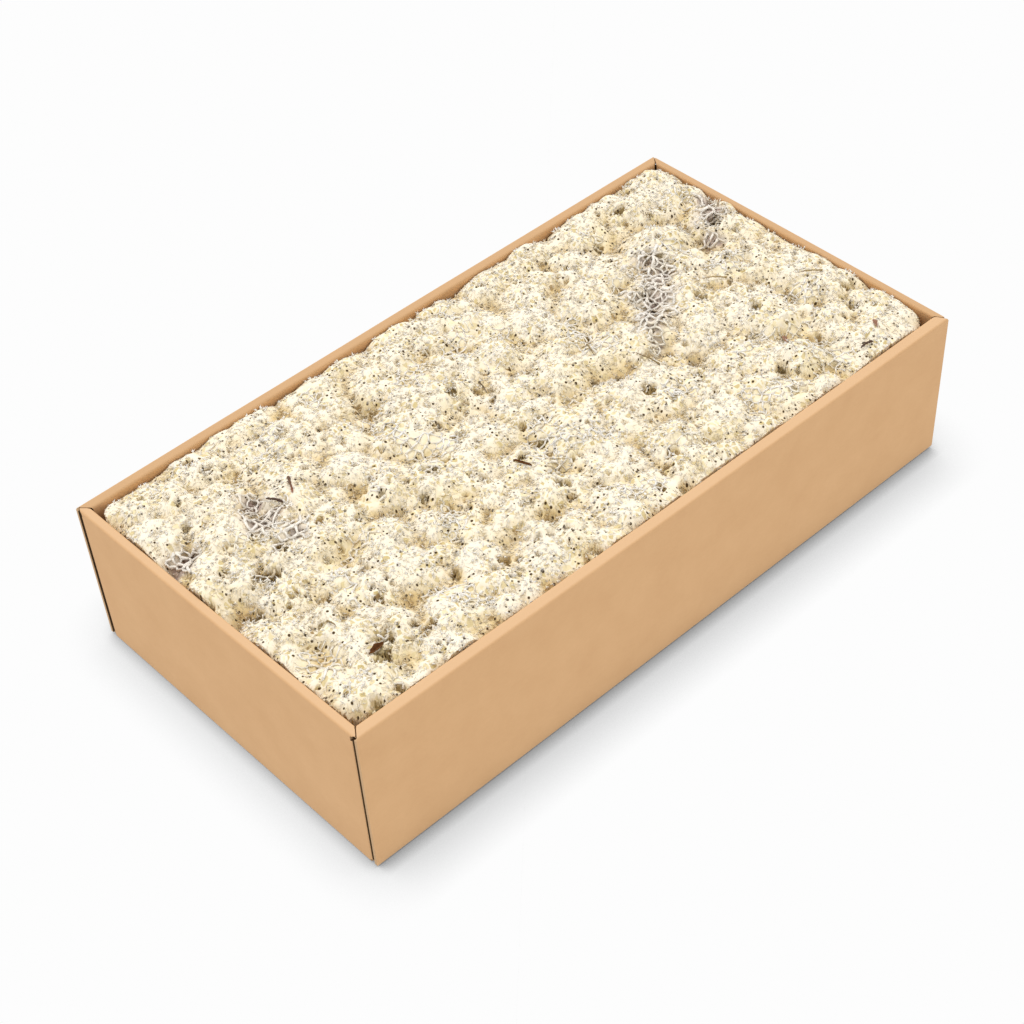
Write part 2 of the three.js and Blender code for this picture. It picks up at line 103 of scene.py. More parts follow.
def crease_arc(centre_u, centre_z, start, end):
    """Points (u, z) on a crease, from one angle to another in degrees."""
    angles = np.radians(np.linspace(start, end, FOLD_STEPS + 1))
    return [
        (centre_u + FOLD_RADIUS * math.cos(a), centre_z + FOLD_RADIUS * math.sin(a)) for a in angles
    ]


def wall_rows(width, limits):
    """The lines of a wall from the floor to the foot of its inner panel.

    Each is (u, z, limit, wear_and_painted_light): u runs inwards from the outer face, limit is half
    the line's length and wear_and_painted_light is 1 on the rim, which add_wall paints pale with
    wear and a painted highlight at the front and dark with painted shade at the back. limits holds
    the half lengths of the floor line, the outer panel, the outer panel above its tab and the inner
    panel, and what the mitre takes off per millimetre.
    """
    floor_half, outer_half, upper_half, inner_half, tip_half, mitre = limits
    lean = math.degrees(math.atan2(RIM_FALL, width))

    def rim_height(u):
        return HEIGHT - half_board - RIM_FALL * (1 - u / width)

    def rim_limit(u):
        return tip_half - mitre * u - MITRE_SEAM / 2

    rows = []
    lower = crease_arc(fold_reach, fold_reach, 270, 180)
    for k, (u, z) in enumerate(lower):
        share = k / FOLD_STEPS
        rows.append((u, z, floor_half + (outer_half - floor_half) * share, FOOT_WEAR_AND_PAINTED_LIGHT))
    outer_u = half_board
    top_z = rim_height(fold_reach) - FOLD_RADIUS / math.cos(math.radians(lean))
    tab_foot = BOARD + FOOT_GAP
    tab_top = HEIGHT - RIM_FALL - BOARD - TAB_DROP
    rows.append((outer_u, tab_foot + SUPPORT, outer_half, 0))
    for z in even_steps(LINE_STEP, tab_top - LINE_STEP / 2, LINE_STEP):
        rows.append((outer_u, z, outer_half, 0))
    rows.append((outer_u, tab_top, outer_half, 0))
    rows.append((outer_u, top_z - SUPPORT, upper_half, 0))
    for k, (u, z) in enumerate(crease_arc(fold_reach, top_z, 180, 90 + lean)):
        share = k / FOLD_STEPS
        limit = upper_half * (1 - share) + rim_limit(u) * share
        rows.append((u, z, limit, share**3))
    inner_u = width - fold_reach
    low_u = fold_reach + SUPPORT
    high_u = inner_u - SUPPORT
    rows += [(u, rim_height(u), rim_limit(u), 1) for u in (low_u, high_u) if low_u < high_u]
    inner_z = rim_height(inner_u) - FOLD_RADIUS / math.cos(math.radians(lean))
    for k, (u, z) in enumerate(crease_arc(inner_u, inner_z, 90 + lean, 0)):
        share = k / FOLD_STEPS
        rows.append((u, z, rim_limit(u) * (1 - share) + inner_half * share, 1 - share))
    inner_panel = width - half_board
    rows.append((inner_panel, inner_z - SUPPORT, inner_half, 0))
    for z in even_steps(BOARD + FOOT_GAP, inner_z - LINE_STEP, LINE_STEP)[::-1]:
        rows.append((inner_panel, z, inner_half, 0))
    rows.append((inner_panel, FOOT_GAP, inner_half, 0))
    return rows


def mirrored(values):
    return sorted({round(s * v, 4) for v in values for s in (-1, 1)})


# The lines of the blank, along both of its sides
lock_edges = [LOCK_PLACE - LOCK_LONG / 2, LOCK_PLACE + LOCK_LONG / 2]
slot_edges = [lock_edges[0] - LOCK_SLACK, lock_edges[1] + LOCK_SLACK]
slot_long = [WIDTH / 2 - LONG_WALL - LOCK_SLACK, WIDTH / 2 - LONG_WALL + BOARD + LOCK_SLACK]
slot_short = [LENGTH / 2 - SHORT_WALL - LOCK_SLACK, LENGTH / 2 - SHORT_WALL + BOARD + LOCK_SLACK]
panel_half = WIDTH / 2 - BOARD - OUTER_SLIT - fold_reach  # of a short outer panel, to its creases
floor_x = LENGTH / 2 - fold_reach
floor_y = WIDTH / 2 - fold_reach
x_lines = mirrored(even_steps(0, LAST_LINES[0], LINE_STEP) + lock_edges + slot_edges + slot_short)
x_lines = [-LENGTH / 2, -floor_x, *x_lines, floor_x, LENGTH / 2]
short_lock = [LOCK_SHORT / 2, LOCK_SHORT / 2 + LOCK_SLACK]
y_lines = mirrored(even_steps(0, LAST_LINES[1], LINE_STEP) + short_lock + slot_long + [panel_half])
y_lines = [-WIDTH / 2, -floor_y, *y_lines, floor_y, WIDTH / 2]

blank = bmesh.new()
wear_and_light_layer = blank.verts.layers.float.new("wear_and_painted_light")


def add_grid(points, wear_and_painted_light, keep):
    """Adds a grid of points to the blank. keep says which of its cells are board."""
    made = []
    for row, wear_and_light in zip(points, wear_and_painted_light):
        made.append([blank.verts.new(p) for p in row])
        for v in made[-1]:
            v[wear_and_light_layer] = wear_and_light
    for i in range(len(made) - 1):
        for j in range(len(made[0]) - 1):
            if keep(i, j):
                blank.faces.new((made[i][j], made[i + 1][j], made[i + 1][j + 1], made[i][j + 1]))


def in_lock(low, high, centres, half):
    middle = (low + high) / 2
    return any(abs(middle - c) < half for c in centres)


def add_wall(rows, lines, lock_centres, lock_half, rim_wear_and_light, place):
    """Adds one wall. rim_wear_and_light is how its rim is painted: above 0 pale with wear and a
    painted highlight, below 0 dark with painted shade. place turns (u, along, z) into a point.
    """
    last = len(rows) - 2  # the lock tabs' own row of cells
    points = []
    for u, z, limit, _ in rows:
        points.append([place(u, float(np.clip(x, -limit, limit)), z) for x in lines])

    def keep(i, j):
        return i < last or in_lock(lines[j], lines[j + 1], lock_centres, lock_half)

    add_grid(points, [r[3] * rim_wear_and_light for r in rows], keep)


long_inner = LENGTH / 2 - SHORT_WALL - INNER_SLIT
short_inner = WIDTH / 2 - LONG_WALL - INNER_SLIT
long_limits = (floor_x, LENGTH / 2, LENGTH / 2, long_inner, LENGTH / 2, SHORT_WALL / LONG_WALL)
short_limits = (panel_half, panel_half, panel_half, short_inner, WIDTH / 2, LONG_WALL / SHORT_WALL)
long_rows = wall_rows(LONG_WALL, long_limits)
short_rows = wall_rows(SHORT_WALL, short_limits)
long_locks = (-LOCK_PLACE, LOCK_PLACE)


def on_long_side(side):
    return lambda u, x, z: (x, side * (WIDTH / 2 - u), z)


def on_short_side(side):
    return lambda u, y, z: (side * (LENGTH / 2 - u), y, z)


for side in (-1, 1):
    add_wall(long_rows, x_lines, long_locks, LOCK_LONG / 2, RIM_WEAR_AND_PAINTED_LIGHT[side], on_long_side(side))
    add_wall(short_rows, y_lines, (0,), LOCK_SHORT / 2, RIM_WEAR_AND_PAINTED_LIGHT[side], on_short_side(side))


def floor_cell(i, j):
    """Whether a cell of the floor is board and no slot."""
    x = (x_lines[j] + x_lines[j + 1]) / 2
    y = (y_lines[i] + y_lines[i + 1]) / 2
    in_long = slot_edges[0] < abs(x) < slot_edges[1] and slot_long[0] < abs(y) < slot_long[1]
    in_short = abs(y) < LOCK_SHORT / 2 + LOCK_SLACK and slot_short[0] < abs(x) < slot_short[1]
    return not in_long and not in_short


floor_lines = [float(x) for x in np.clip(x_lines, -floor_x, floor_x)]
floor_rows = [float(y) for y in np.clip(y_lines, -floor_y, floor_y)]
floor_points = [[(x, y, half_board) for x in floor_lines] for y in floor_rows]
add_grid(floor_points, [0] * len(y_lines), floor_cell)

# The corner tabs go on from the short outer panels, on the same lines
tab_z = [z for u, z, limit, wear_and_painted_light in short_rows if u == half_board and z > BOARD + FOOT_GAP]
tab_z = [z for z in tab_z if z <= HEIGHT - RIM_FALL - BOARD - TAB_DROP]
for end_x in (-1, 1):
    for end_y in (-1, 1):
        plan = crease_arc(floor_x, panel_half, 0, 90)
        tab_y = plan[-1][1]
        flat = even_steps(LENGTH / 2 - TAB_LENGTH, LENGTH / 2 - TAB_START, LINE_STEP)
        plan += [(x, tab_y) for x in flat[::-1]]
        points = [[(end_x * x, end_y * y, z) for x, y in plan] for z in tab_z]
        add_grid(points, [0] * len(tab_z), lambda i, j: True)

bmesh.ops.remove_doubles(blank, verts=blank.verts, dist=WELD)
bmesh.ops.delete(blank, geom=[v for v in blank.verts if not v.link_faces], context="VERTS")
bmesh.ops.recalc_face_normals(blank, faces=blank.faces)


def bowed(x, y, z):
    """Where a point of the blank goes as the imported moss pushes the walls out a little."""
    share = z / HEIGHT
    rise = math.sin(math.pi * min(1, share / BOW_SPAN))
    if abs(y) > WIDTH / 2 - LONG_WALL:
        y += math.copysign(WALL_BOW * math.cos(math.pi * x / LENGTH) * rise, y)
    if abs(x) > LENGTH / 2 - SHORT_WALL:
        x += math.copysign(WALL_BOW * math.cos(math.pi * y / WIDTH) * rise, x)
    x += FLARE_LONG * (2 * share - 1) * x / (LENGTH / 2)
    y += FLARE_SHORT * (2 * share - 1) * y / (WIDTH / 2)
    wave = noise.noise(Vector((x / WAVE_SIZE, y / WAVE_SIZE, 3.1)))
    warp = RIM_WARP * (x / (LENGTH / 2)) * (y / (WIDTH / 2))
    return x, y, z + RIM_WAVE * wave * share**4 + warp * share**2


for v in blank.verts:
    v.co = Vector(bowed(*v.co)) * MM
blank_mesh = bpy.data.meshes.new("tray_blank")
blank.to_mesh(blank_mesh)
blank.free()


def new_piece(name, mesh):
    """Links a mesh to the scene as a piece."""
    piece = bpy.data.objects.new(name, mesh)
    bpy.context.scene.collection.objects.link(piece)
    return piece


tray = new_piece("tray_blank", blank_mesh)


class Shade:
    """One output of a shader node. Sums on it add Math nodes."""

    def __init__(self, tree, socket=None):
        self.tree = tree
        self.socket = socket

    def node(self, kind, settings=None, inputs=None, output=0):
        """Adds a node: its settings first, then the values or links of its sockets."""
        made = self.tree.nodes.new("ShaderNode" + kind)
        for name, value in (settings or {}).items():
            setattr(made, name, value)
        for name, value in (inputs or {}).items():
            if isinstance(value, Shade):
                self.tree.links.new(value.socket, made.inputs[name])
            else:
                made.inputs[name].default_value = value
        return Shade(self.tree, made.outputs[output])

    def sum(self, operation, *values):
        return self.node("Math", {"operation": operation}, dict(enumerate(values)))

    def __add__(self, other):
        return self.sum("ADD", self, other)

    def __sub__(self, other):
        return self.sum("SUBTRACT", self, other)

    def __mul__(self, other):
        return self.sum("MULTIPLY", self, other)

    def __rsub__(self, other):
        return self.sum("SUBTRACT", other, self)

    __radd__ = __add__
    __rmul__ = __mul__

    def clamp(self, low=0.0, high=1.0):
        return self.sum("MINIMUM", self.sum("MAXIMUM", self, low), high)

    def over(self, edge, steep):
        """How far this is over an edge, from 0 to 1."""
        return ((self - edge) * steep).clamp()

    def parts(self):
        """The three numbers of a vector or a colour."""
        split = self.node("SeparateXYZ", inputs={0: self}).socket.node
        return [Shade(self.tree, number) for number in split.outputs]

    def blend(self, first, second):
        """Mixes two colours by this share, which the Mix node keeps from 0 to 1."""
        settings = {"data_type": "RGBA", "clamp_factor": True}
        return self.node("Mix", settings, {0: self, 6: tint(first), 7: tint(second)}, output=2)


def tint(colour):
    """A colour as a socket takes it."""
    return colour if isinstance(colour, Shade) else (*colour, 1)


def new_finish(name, **settings):
    """A material, its shader and the place on the object by which its patterns are laid out."""
    material = bpy.data.materials.new(name)
    material.use_nodes = True
    tree = material.node_tree
    shader = next(n for n in tree.nodes if n.type == "BSDF_PRINCIPLED")
    for socket, value in settings.items():
        shader.inputs[socket.replace("_", " ")].default_value = value
    return material, shader, Shade(tree).node("TexCoord", output="Object")


def feed(shader, sockets):
    for name, value in sockets.items():
        value.tree.links.new(value.socket, shader.inputs[name])


def stored(place, name, output="Color"):
    """What the mesh stores under this name at each point."""
    return place.node("Attribute", {"attribute_name": name}, output=output)


def grain(place, scale, detail=2.0, roughness=0.5, distortion=0.0):
    """Noise from 0 to 1, with its size given in millimetres."""
    inputs = {"Vector": place, "Scale": 1 / (scale * MM), "Detail": detail}
    inputs |= {"Roughness": roughness, "Distortion": distortion}
    return place.node("TexNoise", inputs=inputs)


def bump(height, distance, strength=1.0):
    inputs = {"Height": height, "Distance": distance * MM, "Strength": strength}
    return height.node("Bump", inputs=inputs)


KRAFT = (0.70, 0.435, 0.222)
KRAFT_DARK = (0.60, 0.35, 0.168)
KRAFT_WORN_AND_LIT = (0.64, 0.415, 0.235)
KRAFT_PAINTED_SHADE = (0.53, 0.325, 0.165)
CUT_BOARD = (0.66, 0.45, 0.26)
CUT_SHADE = (0.45, 0.28, 0.15)
# Near black painted shade for the faces inside the hollow of the long walls, where only shade falls
WALL_SHADE_DARK = (0.05, 0.03, 0.015)
WALL_SHADE_LIGHT = (0.14, 0.085, 0.045)
PAINTED_SHADE_END = 0.3  # from the tray's end to where the painted shade inside the long walls begins
PAINTED_SHADE_SIDE = 0.9 * BOARD  # from its long side
PAINTED_SHADE_TOP = 1.2 * BOARD  # from the low edge of the rim
MOTTLE_SIZE = 22.0
FLECK_SIZE = 1.1
FIBRE_SIZE = 0.9
FIBRE_RUN = (0.25, 0.25, 1.0)  # the fibres run along the faces

kraft, shader, place = new_finish("kraft_liner", Roughness=0.8, Specular_IOR_Level=0.25)
mottle = grain(place, MOTTLE_SIZE, detail=5, roughness=0.6)
fleck = grain(place, FLECK_SIZE, detail=3, roughness=0.7)
run = place.node("Mapping", inputs={"Vector": place, "Scale": FIBRE_RUN})
fibre = grain(run, FIBRE_SIZE, detail=3, roughness=0.65, distortion=0.6)
# Above 0 the rim is painted pale, partly wear and partly a painted highlight; below 0 it is painted
# dark, as painted shade
wear_and_light = stored(place, "wear_and_painted_light", "Fac")
colour = (mottle * 0.9 + fleck * 0.35 + fibre * 0.35 - 0.4).blend(KRAFT_DARK, KRAFT)
colour = (wear_and_light * (0.6 + fleck * 0.4)).blend(colour, KRAFT_WORN_AND_LIT)
colour = ((0 - wear_and_light) * (0.6 + mottle * 0.8)).blend(colour, KRAFT_PAINTED_SHADE)
surface = bump(fleck * 0.5 + fibre * 0.5 + mottle * 0.6, 0.12)
feed(shader, {"Base Color": colour, "Roughness": 0.72 + fleck * 0.2, "Normal": surface})

cut_edge, shader, place = new_finish("kraft_cut_edge", Roughness=0.95, Specular_IOR_Level=0.1)
torn = grain(place, 0.7, detail=3, roughness=0.7)
feed(shader, {"Base Color": torn.blend(CUT_SHADE, CUT_BOARD), "Normal": bump(torn, 0.2)})

wall_shade_finish, shader, place = new_finish("kraft_painted_shade", Roughness=1.0, Specular_IOR_Level=0.0)
feed(shader, {"Base Color": grain(place, 4).blend(WALL_SHADE_DARK, WALL_SHADE_LIGHT)})

for finish in (kraft, cut_edge, wall_shade_finish):
    tray.data.materials.append(finish)
solid = tray.modifiers.new("board", "SOLIDIFY")
solid.thickness = BOARD * MM
solid.offset = 0
solid.material_offset_rim = 1

# The board's thickness and rims become part of the mesh
shown = tray.evaluated_get(bpy.context.evaluated_depsgraph_get())
thick_board = bpy.data.meshes.new_from_object(shown)
tray.modifiers.clear()
tray.data = thick_board
bpy.data.meshes.remove(blank_mesh)
SHARP = math.radians(35)
soft = bmesh.new()
soft.from_mesh(tray.data)
for edge in soft.edges:
    edge.smooth = edge.calc_face_angle(0) < SHARP
for face in soft.faces:
    face.smooth = True
    middle = face.calc_center_median() / MM
    flare = 2 * middle.z / HEIGHT - 1
    depth_x = LENGTH / 2 + FLARE_LONG * flare - abs(middle.x)
    depth_y = WIDTH / 2 + FLARE_SHORT * flare - abs(middle.y)
    # Faces inside the hollow of the long walls get the painted shade finish
    in_painted_shade = PAINTED_SHADE_END < depth_x < TAB_LENGTH and PAINTED_SHADE_SIDE < depth_y < LONG_WALL - half_board
    if in_painted_shade and BOARD < middle.z < HEIGHT - RIM_FALL - PAINTED_SHADE_TOP:
        face.material_index = 2
soft.to_mesh(tray.data)
soft.free()
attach(tray, "root")
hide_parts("tray")


# Moss heads
# Round heads of the lichen, packed side by side. A head is a springy web of fine hollow branches.
# At the top each branch ends in a whorl: a star of forked tips round a small open hole. The heads
# keep the domes and dents of the model, and grey ones are older growth with open webs of strands.
CELL = 1.0  # of the map of the moss
FORM_BLUR = 2.2
PLAIN_BLUR = 8.0
BROAD_BLUR = 14.0
DOME_SHARE = 0.45  # how much of the model's domes is kept: packed heads press each other flat
CREASE_REACH = 5  # half the width of the valleys that the tips close, in cells
CREASE_FILL = (0.5, 0.95)  # how much of a valley they close, from patch to patch
CREASE_PATCH = 28.0
SIDE_GAP = 0.8  # between a wall and the roots beside it
TIP_GAP = 0.3  # between a wall and the tips that it bends
CORNER_ROUND = 13.0
WALL_DROPS = (2.2, 3.4)  # how far the moss falls off beside the front walls and the back walls
WALL_REACH = 7.0
WALL_BLUR = 5.0
WALL_PATCH = 16.0
PRESS_REACH = 12.0  # how far from the walls the moss bows out with them
TUFTS = ((24.0, 3.8), (11.0, 1.6))  # how far apart the round tufts are, and how high they rise
TUFT_PATCH = 35.0
MOUNDS = [  # x, y, radius and rise
    (-189, -88, 7, 2), (-165, -63, 10, 3), (138, -7, 13, 2), (91, 25, 13, 2), (-18, 38, 10, 1),
    (-172, 99, 22, -3.5),
]
HOLLOWS = [  # x, y, radius and depth
    (-161, -77, 6, 6), (-153, -69, 6, 8), (-137, -72, 4, 4), (-132, -77, 4, 3), (-166, -97, 4, 4),
    (-190, -100, 3.5, 6), (-181, -96, 3, 4), (-167, -42, 4, 3), (-138, -48, 4, 3),
    (-101, -59, 4, 3), (-165, 1, 8, 7), (-150, 10, 5, 5), (-182, -13, 5, 4), (-180, -24, 4, 3),
    (-194, 6, 3, 3), (-171, 55, 4, 3), (-142, 79, 4, 3), (-144, 91, 4, 4), (98, 9, 5, 5),
    (106, 19, 4, 3), (132, 44, 5, 4), (170, 6, 4, 5), (146, -19, 4, 4), (135, -31, 4, 4),
    (67, -16, 4, 3), (50, -37, 5, 4), (47, -23, 4, 4), (124, -2, 4, 3), (86, -32, 3, 3),
    (77, -45, 4, 3), (177, 37, 6, 5), (-27, -54, 5, 5), (-30, -64, 3, 3), (-27, -26, 4, 4),
    (-12, -22, 4, 4), (25, -78, 5, 3), (17, -81, 3, 3), (3, -90, 4, 4), (-80, -70, 4, 3),
    (-54, -99, 3, 3), (-19, 35, 4, 4), (-38, 8, 5, 4), (-65, -1, 5, 4), (-41, 21, 3, 3),
    (-7, 28, 4, 3), (0, 56, 4, 3), (-11, -8, 3, 3), (-79, -11, 4, 3), (161, -36, 3, 3),
    (183, -52, 4, 4), (172, -65, 4, 5), (129, -73, 3, 3), (110, -72, 4, 4), (165, -102, 3, 4),
    (189, -12, 3, 4), (149, 83, 5, 4), (119, 70, 4, 3), (159, 69, 3, 3),
]
OLD_GROWTH = [  # x, y and radius
    (-141, 44, 12), (-140, 31, 13), (-139, 15, 11), (-186, 39, 12), (125, 33, 16), (108, 16, 20),
    (92, 0, 14), (81, -13, 8), (187, 55, 9), (177, 42, 13), (167, 31, 10),
]
PIT_STEEP = 3.4  # of the side of a hollow: 1 is a cone
PIT_DEPTH = 1.25  # of the listed hollows, as a share of the depth in the list
OPENINGS = 800  # small ones, tried at chance places
OPENING_RADIUS = (1.3, 2.7)
OPENING_DEPTH = (1.5, 3.5)
OPENING_SHADE = 0.17  # how dark their painted shade is for each millimetre of depth
OPENING_PATCH = 15.0
PIT_EDGE = 3.4  # size of the raggedness round a hollow
OLD_PATCH = 9.0
WEB_PATCHES = (24.0, 8.0)
DOT_PATCH = 12.0

random = np.random.default_rng(5)
chance = random.uniform


def nodes_named(prefix):
    return sorted(n for n in frame["nodes"] if n.startswith(prefix))


def node_points(name):
    """The points of a node of the model, in millimetres."""
    return np.array([v.co for v in frame["nodes"][name].data.vertices]) / MM


def unit(values):
    """Values held between 0 and 1."""
    return np.clip(values, 0, 1)


def away(x, y):
    """How far each cell of the map lies from a place."""
    return np.hypot(grid_x - x, grid_y - y)


head_nodes = nodes_named("moss_head")

# The map of the moss: its height and the head that each cell belongs to
head_vertices, head_faces, face_head = [], [], []
for number, name in enumerate(head_nodes):
    mesh = frame["nodes"][name].data
    base = len(head_vertices)
    head_vertices += [v.co / MM for v in mesh.vertices]
    for polygon in mesh.polygons:
        head_faces.append([base + i for i in polygon.vertices])
        face_head.append(number)
head_tree = BVHTree.FromPolygons(head_vertices, head_faces)
map_x = np.arange(-LENGTH / 2 + SHORT_WALL, LENGTH / 2 - SHORT_WALL + CELL / 2, CELL)
map_y = np.arange(-WIDTH / 2 + LONG_WALL, WIDTH / 2 - LONG_WALL + CELL / 2, CELL)
grid_x, grid_y = np.meshgrid(map_x, map_y)
heights = np.zeros((len(map_y), len(map_x)))
owners = np.full(heights.shape, -1)
DOWN = Vector((0, 0, -1))
for i, y in enumerate(map_y):
    for j, x in enumerate(map_x):
        point, _, face, _ = head_tree.ray_cast(Vector((x, y, 2 * HEIGHT)), DOWN)
        if point is not None and point.z > HEIGHT / 2:
            heights[i, j] = point.z
            owners[i, j] = face_head[face]
covered = (owners >= 0).astype(float)


def blurred(values, sigma):
    reach = math.ceil(3 * sigma / CELL)
    kernel = np.exp(-0.5 * (np.arange(-reach, reach + 1) * CELL / sigma) ** 2)
    for axis in (0, 1):
        values = np.apply_along_axis(lambda line: np.convolve(line, kernel, "same"), axis, values)
    return values


def smoothed(values, sigma):
    """A blur over the moss alone, without the seams between the heads."""
    return blurred(values * covered, sigma) / np.maximum(blurred(covered, sigma), 1e-6)


def spread(values, reach, pick):
    """The highest or lowest value within a reach of each cell."""
    padded = np.pad(values, reach, mode="edge")
    found = values
    for di in range(-reach, reach + 1):
        for dj in range(-reach, reach + 1):
            if di * di + dj * dj <= reach * reach:
                rows = slice(reach + di, reach + di + values.shape[0])
                columns = slice(reach + dj, reach + dj + values.shape[1])
                found = pick(found, padded[rows, columns])
    return found


def soft_noise(scale, seed):
    """Smooth noise on the map, from -1 to 1, with its size in millimetres."""
    rows = [[noise.noise(Vector((x / scale, y / scale, seed))) for x in map_x] for y in map_y]
    return np.array(rows)


def tufts(step):
    """Round tufts side by side on the map: 0.5 at a tuft's middle and below 0 between them."""
    places = [
        (x + dx, y + dy, 0)
        for x in np.arange(-LENGTH / 2, LENGTH / 2, step)
        for y in np.arange(-WIDTH / 2, WIDTH / 2, step)
        for dx, dy in [chance(0, step, 2)]
    ]
    tree = KDTree(len(places))
    for k, spot in enumerate(places):
        tree.insert(spot, k)
    tree.balance()
    distance = np.array([[tree.find((x, y, 0))[2] for x in map_x] for y in map_y])
    return 0.5 - (distance / (0.6 * step)) ** 2


def inset(x, y):
    """How far inside the moss's outline, a rectangle with round corners, a place lies."""
    dx = np.abs(x) - (half_x - CORNER_ROUND)
    dy = np.abs(y) - (half_y - CORNER_ROUND)
    outside = np.hypot(np.maximum(dx, 0), np.maximum(dy, 0)) + np.minimum(np.maximum(dx, dy), 0)
    return CORNER_ROUND - outside


def sample(values, x, y):
    """A map's value at a place, between its cells."""
    fx = min(max((x - map_x[0]) / CELL, 0), len(map_x) - 1.001)
    fy = min(max((y - map_y[0]) / CELL, 0), len(map_y) - 1.001)
    j, i = int(fx), int(fy)
    a, b = fx - j, fy - i
    low = values[i, j] * (1 - a) + values[i, j + 1] * a
    high = values[i + 1, j] * (1 - a) + values[i + 1, j + 1] * a
    return low * (1 - b) + high * b


half_x = LENGTH / 2 - SHORT_WALL - SIDE_GAP
half_y = WIDTH / 2 - LONG_WALL - SIDE_GAP
wall_x = half_x + SIDE_GAP - TIP_GAP
wall_y = half_y + SIDE_GAP - TIP_GAP

# The model's domes, pressed flatter, with their creases partly closed by the tips
form = smoothed(heights, FORM_BLUR)
closed = spread(spread(form, CREASE_REACH, np.maximum), CREASE_REACH, np.minimum)
fill_low, fill_high = CREASE_FILL
fill = unit(0.5 + soft_noise(CREASE_PATCH, 7.7)) * (fill_high - fill_low) + fill_low
form = form + (closed - form) * fill
broad = smoothed(form, BROAD_BLUR)
form = broad + (form - broad) * DOME_SHARE

# Tufts on the domes, the fall along the walls, and single mounds
seam = np.zeros_like(form)  # between the tufts
for k, (step, rise) in enumerate(TUFTS):
    rounds = tufts(step)
    form += rise * rounds * np.clip(0.8 + soft_noise(TUFT_PATCH, 4.0 + k), 0.2, 1.4)
    seam = np.maximum(seam, unit(-2 * rounds))
to_front = np.minimum(grid_x + half_x, grid_y + half_y)
to_back = np.minimum(half_x - grid_x, half_y - grid_y)
wall_fall = smoothed(np.where(to_front < to_back, *WALL_DROPS), WALL_BLUR)
wall_fall *= np.clip(1 + soft_noise(WALL_PATCH, 9.1), 0.5, 1.6)
wall_fall *= 1 - np.sqrt(1 - (1 - unit(inset(grid_x, grid_y) / WALL_REACH)) ** 2)
form -= wall_fall
for x, y, radius, rise in MOUNDS:
    form += rise * unit(1 - (away(x, y) / radius) ** 2)

# Hollows that show in the photo, and small openings, most of them in the seams
# pit also says where the finish paints shade in the hollows, darker in deeper ones
pit = np.zeros_like(form)
fallen = np.zeros_like(form)
for x, y, radius, depth in HOLLOWS:
    ragged = radius * (0.85 + 0.7 * soft_noise(PIT_EDGE, x + 0.1 * y))
    inside = unit(PIT_STEEP * (1 - away(x, y) / np.maximum(ragged, 0.5)))
    fallen = np.maximum(fallen, PIT_DEPTH * depth * inside)
    pit = np.maximum(pit, inside * min(1, depth / 5))
likely = unit(2.2 * soft_noise(OPENING_PATCH, 8.1) + 0.1 + 0.5 * seam)
for _ in range(OPENINGS):
    x, y = chance(-half_x, half_x), chance(-half_y, half_y)
    turn, wide = chance(0, math.pi), chance(*OPENING_RADIUS)
    if chance() > sample(likely, x, y):
        continue
    dx, dy = grid_x - x, grid_y - y
    along = (dx * math.cos(turn) + dy * math.sin(turn)) / wide
    across = (dy * math.cos(turn) - dx * math.sin(turn)) / wide / chance(0.6, 1)
    inside = unit(PIT_STEEP * (1 - np.hypot(along, across)))
    depth = chance(*OPENING_DEPTH)
    fallen = np.maximum(fallen, depth * inside)
    pit = np.maximum(pit, inside * depth * OPENING_SHADE)
form -= fallen

# Old growth, open webs of strands, and where the whorls have open holes
old = np.zeros_like(form)
ragged = 0.9 * soft_noise(OLD_PATCH, 2.4)
for x, y, radius in OLD_GROWTH:
    old = np.maximum(old, unit(1.5 - 1.5 * away(x, y) / radius + ragged))
web = np.clip(4 * soft_noise(WEB_PATCHES[0], 6.2) - 0.6 + soft_noise(WEB_PATCHES[1], 1.7), 0, 0.8)
web = np.maximum(web * unit(inset(grid_x, grid_y) / 8), old)
dotted = np.clip(0.25 + 1.3 * soft_noise(DOT_PATCH, 5.5), 0.03, 0.8)

TIP_STAND = 2.5  # of the tips over the map
CORE_RISE = 2.0  # of the dense growth between the tips
OPEN_DROP = 1.7  # from there down, where the growth is open
OLD_DROP = 0.5  # and further in old growth
ROOF_SHARE = 0.75  # how far up a hollow the strands of the web cross it
BED_REACH = 3.0
LEE_STEEP = 2.6  # how soon the side away from the light gets golden painted shade
litter = ("pine_needle", "twig", "bark_flake", "leaf_bit")

# Under a piece of litter the moss comes up or down to touch it
bed_target, bed_weight = form, np.zeros_like(form)
for name in nodes_named(litter):
    points = node_points(name)
    under = points[:, 2].min() - TIP_STAND
    for x, y in points[:, :2]:
        near = np.exp(-((grid_x - x) ** 2 + (grid_y - y) ** 2) / BED_REACH**2)
        bed_target = np.where(near > bed_weight, under, bed_target)
        bed_weight = np.maximum(bed_weight, near)
form = form + (bed_target - form) * bed_weight

# What the growths need to know of each place
level = form + wall_fall
# deep: how far a place lies below the plain round it; the finish paints shade there
deep = unit((smoothed(level, PLAIN_BLUR) - level) / 3.0)
roof = form + ROOF_SHARE * fallen
# lee_shade: the side of a tuft that faces away from the light, where the finish paints golden shade
lee_shade = unit(LEE_STEEP * (np.gradient(smoothed(level + fallen, 2), CELL)[0] - 0.06))
core = form + CORE_RISE - OPEN_DROP * web - OLD_DROP * old
core += 0.2 * soft_noise(2.2, 8.8) + 0.3 * soft_noise(4.5, 3.9) + pit * 1.2 * soft_noise(1.9, 4.6)
slope_y, slope_x = np.gradient(form, CELL)

# Each seam cell goes to a head beside it
while (owners < 0).any():
    for di, dj in ((0, 1), (0, -1), (1, 0), (-1, 0)):
        moved = np.roll(owners, (di, dj), (0, 1))
        owners = np.where(owners < 0, moved, owners)


